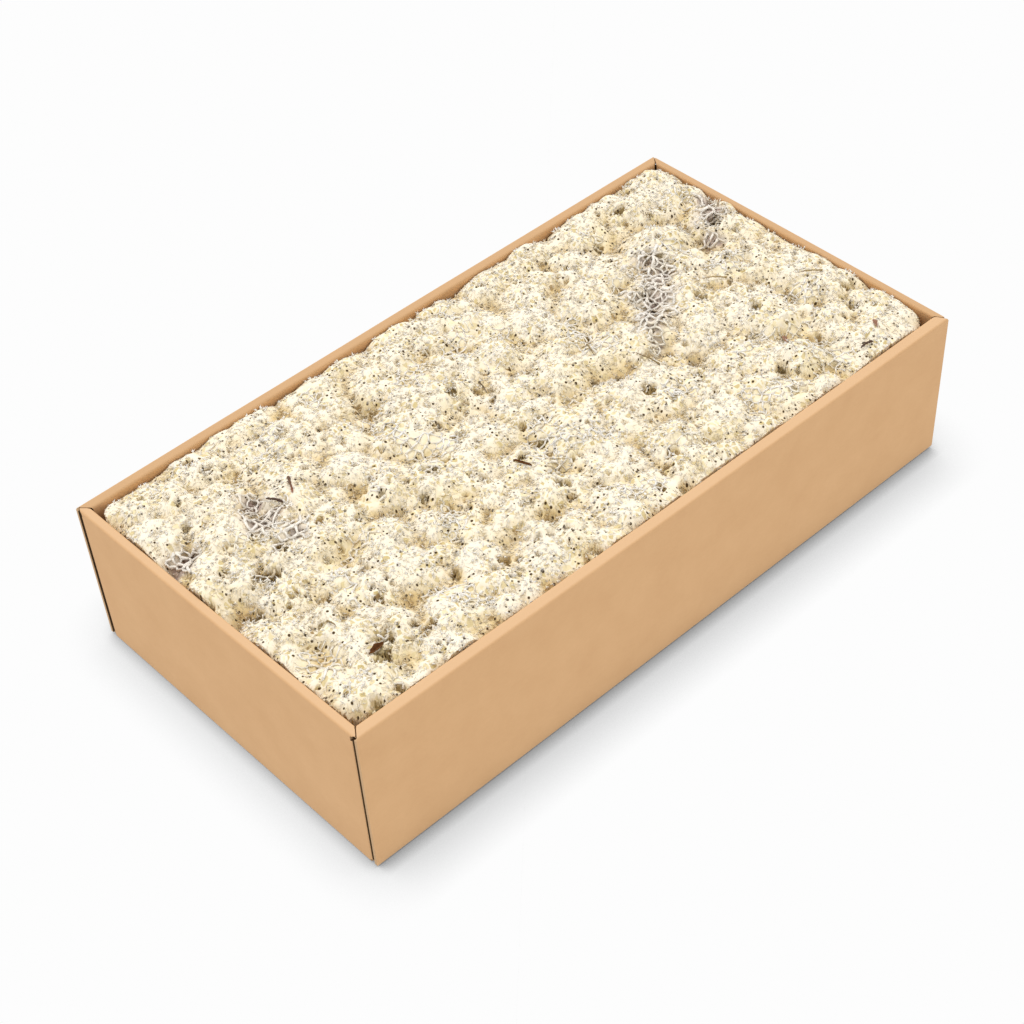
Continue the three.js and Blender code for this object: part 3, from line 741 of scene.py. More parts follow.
def owner_at(x, y):
    i = int(np.clip(round((y - map_y[0]) / CELL), 0, len(map_y) - 1))
    j = int(np.clip(round((x - map_x[0]) / CELL), 0, len(map_x) - 1))
    return owners[i, j]


class Growth:
    """The parts of one growth: points, triangles and two colour records for each point."""

    def __init__(self):
        self.points, self.triangles, self.moss, self.place = [], [], [], []
        self.count = 0

    def add(self, points, triangles, along, hole=0, tone=0, place=0):
        """along runs from 0 at a root to 1 at a tip, and hole is 1 inside a whorl's hole."""
        place = np.zeros((len(points), 5)) + place
        record = np.ones((len(points), 4))
        for k, values in enumerate((along, hole, tone, place[:, 4])):
            record[:, k] = values
        self.points.append(points)
        self.triangles.append(np.array(triangles) + self.count)
        self.moss.append(record)
        self.place.append(place[:, :4])
        self.count += len(points)

    def joined(self):
        return [np.concatenate(p) for p in (self.points, self.triangles, self.moss, self.place)]


def tube(line, radii, sides, spin=0.0):
    """A round tube through the points of a line, closed at both ends."""
    line = np.asarray(line, float)
    rings, triangles = [], []
    ahead = np.gradient(line, axis=0)
    ahead /= np.linalg.norm(ahead, axis=1)[:, None]
    side = np.cross(ahead[0], (0, 0, 1) if abs(ahead[0][2]) < 0.9 else (1, 0, 0))
    for forward, centre, radius in zip(ahead, line, radii):
        side = side - forward * (side @ forward)
        side /= np.linalg.norm(side)
        up = np.cross(forward, side)
        turn = np.arange(sides) / sides * 2 * math.pi + spin
        rings.append(centre + radius * (np.outer(np.cos(turn), side) + np.outer(np.sin(turn), up)))
    points = np.concatenate(rings)
    for i in range(len(line) - 1):
        for k in range(sides):
            a, b = i * sides + k, i * sides + (k + 1) % sides
            triangles += [(a, b, b + sides), (a, b + sides, a + sides)]
    last = (len(line) - 1) * sides
    for k in range(1, sides - 1):
        triangles += [(0, k + 1, k), (last, last + k, last + k + 1)]
    return points, triangles


def cone(base, tip, radius, spin):
    """A three-sided tip with a closed base: four points and four triangles."""
    forward = tip - base
    forward = forward / np.linalg.norm(forward)
    side = np.cross(forward, (0.3, 0.2, 1.0))
    side /= np.linalg.norm(side)
    up = np.cross(forward, side)
    turn = np.arange(3) / 3 * 2 * math.pi + spin
    ring = base + radius * (np.outer(np.cos(turn), side) + np.outer(np.sin(turn), up))
    return np.vstack([ring, tip]), [(0, 1, 3), (1, 2, 3), (2, 0, 3), (0, 2, 1)]


def leaning(azimuth, lean):
    """A direction that leans from straight up by so many radians."""
    flat = math.sin(lean)
    return np.array([math.cos(azimuth) * flat, math.sin(azimuth) * flat, math.cos(lean)])


WHORL_KINDS = 14  # of each sort, open and closed
ARMS = (4, 5, 5, 6)
ARM_RADIUS = 0.36
ARM_LENGTH = 1.2
ARM_LEAN = (1.05, 1.45)
TIP_LENGTH = (1.2, 1.9)
TIP_RADIUS = 0.33
FORK_TURN = (0.5, 1.1)  # from an arm to the tips beside its own
FORK_LEAN = (0.7, 1.4)
FORK_SHARE = 0.9
HUB_RADIUS = 0.8
HUB_DOME = 0.35  # of a closed whorl
HOLE_RADIUS = 0.55
HOLE_RIM = 0.12
HOLE_DEPTH = 0.6
ROOT_DEPTH = 1.8


def make_whorl(is_open):
    """The points, triangles and records of one whorl in its own frame."""
    whorl = Growth()
    # The hub is a cup that runs down to its root
    arms = ARMS[random.integers(len(ARMS))]
    turn = np.arange(arms) / arms * 2 * math.pi
    wide = np.stack([np.cos(turn), np.sin(turn), 0 * turn], axis=1)
    root, middle = (0, 0, -ROOT_DEPTH), (0, 0, -HOLE_DEPTH if is_open else HUB_DOME)
    hub = np.vstack([wide * HUB_RADIUS, wide * HOLE_RADIUS + (0, 0, HOLE_RIM), root, middle])
    cup = []
    for k in range(arms):
        n = (k + 1) % arms
        cup += [(k, 2 * arms, n), (k, n, arms + n), (k, arms + n, arms + k)]
        cup.append((arms + k, arms + n, 2 * arms + 1))
    rings = [arms, arms, 1, 1]
    # hole marks the inside of an open hole, which the finish paints dark as painted shade
    hole = np.repeat([0, 0.9, 0, 1.0], rings) * is_open
    whorl.add(hub, cup, np.repeat([0.6, 0.8, 0, 0.3 if is_open else 0.9], rings), hole)
    for azimuth in turn + chance(-0.25, 0.25, arms):
        foot = np.array([math.cos(azimuth), math.sin(azimuth), -0.3]) * HUB_RADIUS
        lean = chance(*ARM_LEAN)
        knee = foot + leaning(azimuth, lean) * ARM_LENGTH * chance(0.8, 1.2)
        tip = knee + leaning(azimuth + chance(-0.3, 0.3), lean * 0.85) * chance(*TIP_LENGTH)
        arm, sides = tube([foot, knee], [ARM_RADIUS, ARM_RADIUS * 0.9], 3, chance(0, 2))
        sides = [t for t in sides if t != (3, 4, 5)] + [(3, 4, 6), (4, 5, 6), (5, 3, 6)]
        whorl.add(np.vstack([arm, tip]), sides, [0.4] * 3 + [0.8] * 3 + [1.0])
        for way in (-1, 1):
            fork = azimuth + way * chance(*FORK_TURN)
            end = knee + leaning(fork, chance(*FORK_LEAN)) * chance(*TIP_LENGTH) * FORK_SHARE
            whorl.add(*cone(knee, end, TIP_RADIUS, chance(0, 2)), [0.75] * 3 + [1.0])
    return whorl.joined()


def upright(normal, spin):
    """A frame whose third axis is the normal."""
    normal = normal / np.linalg.norm(normal)
    side = np.array([math.cos(spin), math.sin(spin), 0])
    side = side - normal * (side @ normal)
    side /= np.linalg.norm(side)
    return np.stack([side, np.cross(normal, side), normal], axis=1)


open_whorls = [make_whorl(True) for _ in range(WHORL_KINDS)]
closed_whorls = [make_whorl(False) for _ in range(WHORL_KINDS)]
growths = [Growth() for _ in head_nodes]


def place_record(x, y):
    return [sample(values, x, y) for values in (deep, old, pit, web, lee_shade)]


WHORL_STEP = 5.4
WHORL_JITTER = 0.32
WHORL_SIZE = (1.0, 1.45)
WHORL_RISE = 1.4  # of a whorl's hub over the map
WHORL_UNEVEN = 0.3
WHORL_TILT = 0.25
EDGE_SINK = 0.9  # how much lower the hubs right at the walls are
STEEP_FROM = 0.6  # slope from which the sides of the tufts get more whorls
NEAR = 1.6  # how far off those stand


def place_whorl(x, y):
    z = sample(form, x, y) + WHORL_RISE + chance(-WHORL_UNEVEN, WHORL_UNEVEN)
    z -= max(0, EDGE_SINK - 0.25 * inset(x, y))
    normal = np.array([-sample(slope_x, x, y), -sample(slope_y, x, y), 1.0])
    normal[:2] += chance(-WHORL_TILT, WHORL_TILT, 2)
    is_open = chance() < sample(dotted, x, y) + 0.5 * sample(deep, x, y)
    kinds = open_whorls if is_open else closed_whorls
    points, triangles, moss, _ = kinds[random.integers(WHORL_KINDS)]
    size = chance(*WHORL_SIZE) * (0.75 if inset(x, y) < 3 else 1)
    turned = points * size @ upright(normal, chance(0, 2 * math.pi)).T + (x, y, z)
    turned[:, :2] = np.clip(turned[:, :2], (-wall_x, -wall_y), (wall_x, wall_y))
    growth = growths[owner_at(x, y)]
    growth.add(turned, triangles, moss[:, 0], moss[:, 1], chance(), place_record(x, y))


def hex_places(step, jitter):
    """Places side by side over the moss, each moved a little."""
    row = step * math.sqrt(3) / 2
    for i, y in enumerate(np.arange(-half_y, half_y, row)):
        for x in np.arange(-half_x + (i % 2) * step / 2, half_x, step):
            dx, dy = chance(-jitter, jitter, 2) * step
            if inset(x + dx, y + dy) > 0:
                yield x + dx, y + dy


for x, y in hex_places(WHORL_STEP, WHORL_JITTER):
    left_out = max(1.1 * sample(web, x, y), 1.2 * sample(old, x, y) ** 2)
    if chance() < left_out or sample(pit, x, y) > 0.6:
        continue
    place_whorl(x, y)
    steep = math.hypot(sample(slope_x, x, y), sample(slope_y, x, y))
    if chance() < (steep - STEEP_FROM) * 0.8:
        place_whorl(*((x, y) + chance(-NEAR, NEAR, 2)))

# The web of strands, where the growth is open: the edges of uneven cells, thick where they meet
WEB_STEP = 3.3
WEB_JITTER = 0.42
OLD_STEP = 3.9  # the nets of old growth are wider
LOWER_STEP = 3.3
WEB_MISSING = 0.36  # share of the cells that their neighbours take over
STRAND_RADIUS = 0.62
KNOT_RADIUS = 0.95
STRAND_RANGE = (0.25, 3.4)  # of the step
LOWER_NET = -2.0  # from the web down to the second net that shows through old growth
KNOT_UNEVEN = 0.9
STEM_RADIUS = 0.7  # of the stem that stands under each knot
STEM_LENGTH = 3.6
STRAND_BEND = (0.16, -0.1, 0.14)  # sideways, and least and most upwards, as shares of its length


def circle_centre(a, b, c):
    """The point that lies equally far from three others."""
    b, c = b - a, c - a
    area = 2 * (b.x * c.y - b.y * c.x)
    bb, cc = b.length_squared, c.length_squared
    return a + Vector((c.y * bb - b.y * cc, b.x * cc - c.x * bb)) / area


def grow_web(step, kept, lift, along, stout):
    """Grows a net of strands round cells of one step. kept says how likely a knot is at a place."""
    seeds = [Vector(p) for p in hex_places(step, WEB_JITTER) if chance() > WEB_MISSING]
    corners, _, cells = delaunay_2d_cdt(seeds, [], [], 0, 1e-5)[:3]
    knots, beside = {}, {}
    for k, cell in enumerate(cells):
        centre = circle_centre(*(corners[i] for i in cell))
        x, y = centre
        far = (centre - corners[cell[0]]).length > 3 * step
        if far or inset(x, y) < 0.3 or chance() > kept(x, y):
            continue
        knots[k] = np.array([x, y, sample(roof, x, y) + chance(0, KNOT_UNEVEN) + lift])
        for n in range(3):
            beside.setdefault(tuple(sorted((cell[n], cell[n - 1]))), []).append(k)
    for k, knot in knots.items():
        stem = cone(knot - (0, 0, STEM_LENGTH), knot + (0, 0, 0.2), STEM_RADIUS, k)
        x, y = knot[:2]
        growths[owner_at(x, y)].add(*stem, [0.0] * 3 + [along], 0, 0.5, place_record(x, y))
    for pair in beside.values():
        if len(pair) < 2:
            continue
        start_knot, end_knot = knots[pair[0]], knots[pair[1]]
        length = np.linalg.norm(end_knot - start_knot)
        if not STRAND_RANGE[0] < length / step < STRAND_RANGE[1]:
            continue
        sideways, down, up = STRAND_BEND
        middle = (start_knot + end_knot) / 2
        middle[:2] += chance(-sideways, sideways, 2) * length
        middle[2] += chance(down, up) * length
        place = np.array(place_record(*middle[:2])) * (0.4, 1, 0, 1, 1)
        radii = stout * chance(0.7, 1.1) * np.array([KNOT_RADIUS, STRAND_RADIUS, KNOT_RADIUS])
        strand = tube([start_knot, middle, end_knot], radii, 3)
        growths[owner_at(*middle[:2])].add(*strand, along, 0, chance(), place)


def web_share(x, y):
    return 1.6 * max(sample(web, x, y), 0.5 * sample(pit, x, y)) * (1 - sample(old, x, y))


def old_share(x, y):
    return 2.4 * sample(old, x, y)


grow_web(WEB_STEP, web_share, lift=0.3, along=0.9, stout=1.0)
grow_web(OLD_STEP, old_share, lift=0.6, along=0.9, stout=1.3)
grow_web(LOWER_STEP, old_share, lift=LOWER_NET, along=0.5, stout=1.0)

# Fine branches that lie over the tufts and point down their sides, and a few long bare strands
FUR = 38000
FUR_RADIUS = 0.27
FUR_LENGTH = (1.6, 4.0)
FUR_LIFT = (0.0, 0.7)
FUR_TURN = 0.8
FUR_ALONG = [0.5] * 3 + [1.0]
FRINGE_TRIES = 90000
FRINGE_WIDTH = 2.6  # of the fringe of branches that reach for the walls
FRINGE_LENGTH = (1.5, 3.0)
FRINGE_LIFT = (-0.8, 0.6)
FRINGE_TURN = 0.5
LONG_STRANDS = 70
LONG_REACH = (4, 8)  # to each side of its middle
LONG_BEND = 1.2
LONG_LIFT = (0.6, 1.2)
LONG_RADII = (0.3, 0.28, 0.26, 0.26, 0.22, 0.14)


def chance_places(count):
    return zip(chance(-half_x, half_x, count), chance(-half_y, half_y, count))


def lay_branch(x, y, turn, reach, lift):
    """One fine branch that lies on the moss, no longer than the wall beside it allows."""
    while inset(x + reach * math.cos(turn), y + reach * math.sin(turn)) < -SIDE_GAP / 2:
        reach *= 0.7
    end_x, end_y = x + reach * math.cos(turn), y + reach * math.sin(turn)
    foot = np.array([x, y, sample(core, x, y) - 0.2])
    tip = np.array([end_x, end_y, sample(core, end_x, end_y) + lift])
    branch = cone(foot, tip, FUR_RADIUS, x)
    growths[owner_at(x, y)].add(*branch, FUR_ALONG, 0, chance(), place_record(x, y))


for x, y in chance_places(FUR):
    turn = math.atan2(-sample(slope_y, x, y), -sample(slope_x, x, y)) + random.normal(0, FUR_TURN)
    hidden = max(1.6 * sample(web, x, y), 0.2 * sample(pit, x, y))
    if inset(x, y) > 0 and chance() > hidden:
        lay_branch(x, y, turn, chance(*FUR_LENGTH), chance(*FUR_LIFT))
for x, y in chance_places(FRINGE_TRIES):
    if 0.2 < inset(x, y) < FRINGE_WIDTH:
        inwards_x, inwards_y = inset(x + 0.1, y) - inset(x, y), inset(x, y + 0.1) - inset(x, y)
        turn = math.atan2(-inwards_y, -inwards_x) + random.normal(0, FRINGE_TURN)
        lay_branch(x, y, turn, chance(*FRINGE_LENGTH), chance(*FRINGE_LIFT))
for _ in range(LONG_STRANDS):
    x, y = chance(-half_x, half_x), chance(-half_y, half_y)
    turn, reach = chance(0, math.pi), chance(*LONG_REACH)
    steps = np.linspace(-reach, reach, len(LONG_RADII))
    across = chance(-LONG_BEND, LONG_BEND) * (steps / reach) ** 2
    line_x = x + steps * math.cos(turn) - across * math.sin(turn)
    line_y = y + steps * math.sin(turn) + across * math.cos(turn)
    if min(inset(line_x, line_y)) < 1:
        continue
    tops = np.array([sample(form, a, b) for a, b in zip(line_x, line_y)])
    line_z = np.polyval(np.polyfit(steps, tops, 2), steps)
    line_z += max(tops - line_z) + chance(*LONG_LIFT)
    strand = tube(np.stack([line_x, line_y, line_z], axis=1), LONG_RADII, 4)
    growths[owner_at(x, y)].add(*strand, 1.0, 0, 0.1, place_record(x, y))

FOOT_SHARE = 0.93  # of a head's width at the tray's floor
CORE_LOOK = (0.15, 0, 0.5)  # along, hole and tone of its points
drift_x = grid_x + 0.4 * soft_noise(1.7, 2.2)
drift_y = grid_y + 0.4 * soft_noise(1.7, 6.6)
core_records = np.stack([deep, old, pit, web, lee_shade], axis=-1)


def add_core(number, growth):
    """The dense inner growth of one head, from just under its tips down to the tray's floor."""
    numbers, spots, triangles, rim = {}, [], [], {}

    def corner(i, j):
        if (i, j) not in numbers:
            numbers[i, j] = len(spots)
            spots.append((i, j))
        return numbers[i, j]

    for i, j in np.argwhere(owners[:-1, :-1] == number):
        if inset(map_x[j] + CELL / 2, map_y[i] + CELL / 2) < 0:
            continue
        a, b, c, d = corner(i, j), corner(i, j + 1), corner(i + 1, j + 1), corner(i + 1, j)
        triangles += [(a, b, c), (a, c, d)]
        for edge in ((a, b), (b, c), (c, d), (d, a)):
            if rim.pop(edge[::-1], None) is None:
                rim[edge] = True
    rows, columns = np.array(spots).T
    top = np.stack([drift_x[rows, columns], drift_y[rows, columns], core[rows, columns]], axis=1)
    growth.add(top, triangles, *CORE_LOOK, core_records[rows, columns])
    # The sides, which go in a little on their way down to the floor
    used = sorted({k for edge in rim for k in edge})
    again = {k: n for n, k in enumerate(used)}
    count = len(used)
    middle = top.mean(axis=0)
    foot = middle + (top[used] - middle) * FOOT_SHARE
    foot[:, 2] = BOARD + FOOT_GAP
    middle[2] = BOARD + FOOT_GAP
    sides = []
    for a, b in rim:
        a, b = again[a], again[b]
        sides += [(a, a + count, b + count), (a, b + count, b), (a + count, 2 * count, b + count)]
    growth.add(np.vstack([top[used], foot, middle]), sides, *CORE_LOOK, (0.5, 0, 0, 0, 0))


def triangle_mesh(name, points, triangles, records):
    """A mesh of triangles, in metres, with its colour records."""
    mesh = bpy.data.meshes.new(name)
    mesh.vertices.add(len(points))
    mesh.vertices.foreach_set("co", (points * MM).astype(np.float32).ravel())
    mesh.loops.add(3 * len(triangles))
    mesh.loops.foreach_set("vertex_index", triangles.astype(np.int32).ravel())
    mesh.polygons.add(len(triangles))
    mesh.polygons.foreach_set("loop_start", np.arange(0, 3 * len(triangles), 3, dtype=np.int32))
    mesh.update(calc_edges=True)
    for record, values in records.items():
        layer = mesh.attributes.new(record, "FLOAT_COLOR", "POINT")
        layer.data.foreach_set("color", values.astype(np.float32).ravel())
    mesh.shade_smooth()
    return mesh


TIP_CREAM = (0.885, 0.85, 0.79)
TIP_IVORY = (0.885, 0.82, 0.70)
TIP_KHAKI = (0.85, 0.75, 0.52)
TIP_PINK = (0.88, 0.74, 0.61)
TIP_SHADE_GOLD = (0.86, 0.76, 0.53)
GAP_CREAM = (0.885, 0.80, 0.65)
GAP_SHADE_GOLD = (0.80, 0.63, 0.34)
GAP_OLIVE = (0.78, 0.66, 0.37)
PIT_SHADE_BROWN = (0.24, 0.165, 0.06)
HOLE_SHADE = (0.075, 0.043, 0.015)
OLD_STRAND = (0.88, 0.81, 0.72)
OLD_GAP = (0.66, 0.54, 0.44)
OLD_GAP_SHADE = (0.17, 0.10, 0.065)
DARK_DOT_STEP = 3.2
DARK_DOT_PATCH = 9.0
NET_STEP = 3.4  # of the fine net of strands between the tips
NET_DRIFT = 1.8
DRIFT_SIZE = 2.4
NET_PATCH = 12.0
BROAD_PATCH = 38.0
SMALL_PATCH = 17.0
FINE_PATCH = 3.0
FUR_GRAIN = 0.9
CELL_PALE = (0.87, 0.76, 0.51)
CELL_SHADE_KHAKI = (0.54, 0.42, 0.18)
CELL_SHADE_BROWN = (0.25, 0.145, 0.055)
CELL_LILAC = (0.40, 0.30, 0.25)
STEM_KHAKI = (0.88, 0.72, 0.39)
TIP_TAN = (0.74, 0.62, 0.43)
HOLLOW_SHADE_BROWN = (0.62, 0.44, 0.20)


def cells(place, step, output=0, **settings):
    """Uneven cells on a level plane: how far off a cell's middle is, or a colour for each cell."""
    settings = {"voronoi_dimensions": "2D", **settings}
    return place.node("TexVoronoi", settings, {"Vector": place, "Scale": 1 / (step * MM)}, output)


def moss_finish(name, grey):
    """The finish of a head. grey is how far its old growth turns from cream to lilac grey."""
    material, shader, place = new_finish(name, Roughness=0.9, Specular_IOR_Level=0.15)
    along, hole, tone = stored(place, "moss").parts()
    hollow_shade, aged, pit_shade = stored(place, "place").parts()
    shaded = stored(place, "moss", "Alpha")
    open_web = stored(place, "place", "Alpha")
    patch = grain(place, BROAD_PATCH, detail=3)
    second = grain(place, SMALL_PATCH)
    fine = grain(place, FINE_PATCH)
    # The tips, cream with some ivory, khaki, pink and tan, and gold as painted shade on the side
    # away from the light
    tips = (patch.over(0.42, 3) * (0.4 + tone * 0.6)).blend(TIP_CREAM, TIP_IVORY)
    tips = (second.over(0.55, 5) * tone.over(0.3, 1.4) * 0.6).blend(tips, TIP_KHAKI)
    tips = (second.over(0.42, -6) * fine.over(0.4, 2.5) * 0.5).blend(tips, TIP_PINK)
    golden_lee_shade = (shaded * (patch * 3 - 0.7) * (fine * 3 - 0.6)).clamp()
    tips = (golden_lee_shade * 0.6).blend(tips, TIP_SHADE_GOLD)
    tips = (tone.over(0.8, 8) * 0.8).blend(tips, TIP_TAN)
    tips = (aged * grey).blend(tips, OLD_STRAND)
    # The growth between them: gold in hollows and on the side away from the light, as painted
    # shade, olive in webs, dark in the openings of old growth with painted shade, and brown in pits
    # as painted shade
    gap = (golden_lee_shade * 0.45 + hollow_shade * 1.5 * second.over(0.36, 3.5)).blend(GAP_CREAM, GAP_SHADE_GOLD)
    gap = (open_web * fine.over(0.25, 2.5)).blend(gap, GAP_OLIVE)
    # Dark openings in old growth: its brown inner growth, with painted shade
    gap = aged.blend(gap, ((fine - 0.5) * 5 - aged + 1.0).blend(OLD_GAP_SHADE, OLD_GAP))
    gap = (pit_shade * 5 - 1.6 + (fine - 0.5) * 4).blend(gap, PIT_SHADE_BROWN)
    low = (1.0 - along * 1.25).clamp()
    # Hollows and pits take more of the colour between the tips, as painted shade
    colour = (low * (0.8 + hollow_shade * 0.2) + hollow_shade * 0.25 + pit_shade * 0.35).blend(tips, gap)
    # The finest net of strands, with khaki and brown in its cells: the darker growth under its
    # openings with painted shade, browner in hollows
    drift = {"Vector": place, "Scale": 1 / (DRIFT_SIZE * MM)}
    drift = place.node("TexNoise", inputs=drift, output=1)
    moved = {0: drift, 1: (NET_DRIFT * MM,) * 3, 2: place}
    net_place = place.node("VectorMath", {"operation": "MULTIPLY_ADD"}, moved)
    border = cells(net_place, NET_STEP, feature="DISTANCE_TO_EDGE")
    kind, brown, width = cells(net_place, NET_STEP, 1).parts()
    netted = kind + (grain(place, NET_PATCH) - 0.5) * 3.2 + aged * 0.3 + hollow_shade * 0.4
    cell = (border - width * 0.1).over(0.09, 12) * netted.over(0.52, 8) * (low * 1.6).clamp()
    inside = brown.blend(CELL_PALE, CELL_SHADE_KHAKI)
    inside = ((brown - 1.0 + hollow_shade * 0.4) * 16).blend(inside, CELL_SHADE_BROWN)
    colour = cell.blend(colour, (aged * grey * 1.2).blend(inside, CELL_LILAC))
    # Stems, painted shade in deep hollows, painted shade in the holes of whorls, and small dark
    # dots: painted shade of gaps between the tips, with the lichen's own dark dots among them
    from_stem = along - 0.45
    stem = (1.0 - from_stem * from_stem * 8).clamp()
    colour = (stem * (0.55 - aged * 0.55)).blend(colour, STEM_KHAKI)
    colour = (hollow_shade * (second * 3 - 0.9) * (0.6 - aged * 0.6)).blend(colour, HOLLOW_SHADE_BROWN)
    kind, width, _ = cells(place, DARK_DOT_STEP, 1).parts()
    dark_dot = ((width * 0.12 + 0.14 - cells(place, DARK_DOT_STEP)) * 16).clamp()
    chosen = kind + hollow_shade * 0.35 + pit_shade * 0.4 + (grain(place, DARK_DOT_PATCH) - 0.5) * 3
    dark_dot = dark_dot * chosen.over(0.72, 20) * (low * 1.5 + 0.5).clamp()
    colour = (hole + dark_dot).blend(colour, HOLE_SHADE)
    fur = grain(place, FUR_GRAIN, detail=3, roughness=0.6) - cell * 0.6
    surface = bump(fur, 0.5, 0.4)
    feed(shader, {"Base Color": colour, "Roughness": 0.8 + fine * 0.2, "Normal": surface})
    return material


def pressed(points):
    """Moves the moss beside the walls with them, as it bows them out and they are warped."""
    x, y, z = points.T
    near_x = unit(1 - (wall_x - np.abs(x)) / PRESS_REACH)
    near_y = unit(1 - (wall_y - np.abs(y)) / PRESS_REACH)
    share = z / HEIGHT
    rise = np.sin(math.pi * np.minimum(1, share / BOW_SPAN))
    out_x = WALL_BOW * np.cos(math.pi * y / WIDTH) * rise + FLARE_LONG * (2 * share - 1)
    out_y = WALL_BOW * np.cos(math.pi * x / LENGTH) * rise + FLARE_SHORT * (2 * share - 1)
    warp = RIM_WARP * (x / (LENGTH / 2)) * (y / (WIDTH / 2)) * share**2
    lift = np.maximum(near_x, near_y) * warp
    moves = (np.sign(x) * near_x * out_x, np.sign(y) * near_y * out_y, lift)
    return points + np.stack(moves, axis=1)


cream_finish = moss_finish("cream_moss_strands", 0.45)
grey_finish = moss_finish("grey_moss_strands", 0.95)
slots = {s["node"]: s["material_slot"] for s in frame["record"]["subparts"]}
for number, name in enumerate(head_nodes):
    growth = growths[number]
    add_core(number, growth)
    points, triangles, moss, place = growth.joined()
    mesh = triangle_mesh(name, pressed(points), triangles, {"moss": moss, "place": place})
    head = new_piece(name.replace("moss_head", "lichen_head"), mesh)
    head.data.materials.append(grey_finish if slots[name] == "grey_moss" else cream_finish)
    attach(head, "root")
    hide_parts(name)


# Pine needles and stalks
# Dry needles and thin stalks of the forest floor that came in with the moss. They lie loose on its
# tips, bent as they dried.
NEEDLE_STEPS = 15
NEEDLE_SIDES = 7
NEEDLE_RADIUS = 0.42
NEEDLE_WOBBLE = 0.18
NEEDLE_SHEATH = 1.35  # how much thicker the old base of a needle is
NEEDLE_TONES = {"pine_needle_3": 0.15, "pine_needle_4": 0.2, "pine_needle_5": 0.9}  # 1 is dark
NEEDLE_STRAW = (0.40, 0.29, 0.13)
NEEDLE_DARK = (0.10, 0.065, 0.035)
NEEDLE_GREY = (0.30, 0.22, 0.16)


def middle_line(name, steps, wobble):
    """The curved middle line of a long thin node, in millimetres, with a little unevenness."""
    points = node_points(name)
    middle = points.mean(axis=0)
    axis = np.linalg.svd(points - middle)[2][0]
    along = (points - middle) @ axis
    curve = np.polyfit(along, points, 3)
    places = np.linspace(along.min(), along.max(), steps)
    line = np.stack([np.polyval(curve[:, k], places) for k in range(3)], axis=1)
    return line + chance(-wobble, wobble, line.shape)


def litter_piece(name, new_name, growth, finish):
    """One piece of litter, in the place of its node."""
    points, triangles, moss, _ = growth.joined()
    piece = new_piece(new_name, triangle_mesh(new_name, points, triangles, {"moss": moss}))
    piece.data.materials.append(finish)
    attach(piece, "root")
    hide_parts(name)


def dry_finish(name, colours, grain_size, bumps, shine=0.3):
    """The finish of dry litter: three colours, by the piece's tone and by a fine grain."""
    first, second, third = colours
    material, shader, place = new_finish(name, Roughness=0.75, Specular_IOR_Level=shine)
    along, _, tone = stored(place, "moss").parts()
    streak = grain(place, grain_size, detail=4, roughness=0.7)
    colour = (tone + (streak - 0.5) * 0.8).blend(first, second)
    colour = ((along - 0.6) * 2 + (streak - 0.5) * 2).blend(colour, third)
    surface = bump(streak, bumps)
    feed(shader, {"Base Color": colour, "Roughness": 0.6 + streak * 0.3, "Normal": surface})
    return material


needle_colours = (NEEDLE_STRAW, NEEDLE_DARK, NEEDLE_GREY)
needle_finish = dry_finish("dry_needle_skin", needle_colours, grain_size=1.6, bumps=0.08)
for name in nodes_named("pine_needle"):
    line = middle_line(name, NEEDLE_STEPS, NEEDLE_WOBBLE)
    share = np.linspace(0, 1, NEEDLE_STEPS)
    radii = NEEDLE_RADIUS * np.sqrt(np.clip(1 - share**3, 0.03, 1))
    radii[:2] *= NEEDLE_SHEATH
    needle = Growth()
    along = np.repeat(share, NEEDLE_SIDES)
    needle.add(*tube(line, radii, NEEDLE_SIDES), along, tone=NEEDLE_TONES.get(name, 0.5))
    litter_piece(name, name.replace("pine_needle", "dry_needle"), needle, needle_finish)


# Twigs
# Short broken ends of twigs: thin wood under dark bark, with knots where side shoots sat and a stub
# of one shoot left. They lie loose, half sunk among the tips.
TWIG_STEPS = 18
TWIG_SIDES = 9
TWIG_RADIUS = 0.62
TWIG_TAPER = 0.35
TWIG_ENDS = 0.55  # how much thinner the broken ends are
TWIG_WOBBLE = 0.16
TWIG_ROUGH = 0.05
TWIG_KNOTS = (0.22, 0.5, 0.81)
KNOT_SWELL = 0.35
KNOT_SPREAD = 0.05
STUB_LENGTH = 1.8
STUB_LEAN = 1.1
STUB_RADII = (0.36, 0.3, 0.16)
TWIG_LOOKS = {"twig_1": (0.35, 1.0)}  # how dark it is, and how red at its thin end
TWIG_LOOK = (0.8, 0.4)
TWIG_BROWN = (0.17, 0.085, 0.045)
TWIG_DARK = (0.055, 0.032, 0.022)
TWIG_RED = (0.33, 0.09, 0.045)

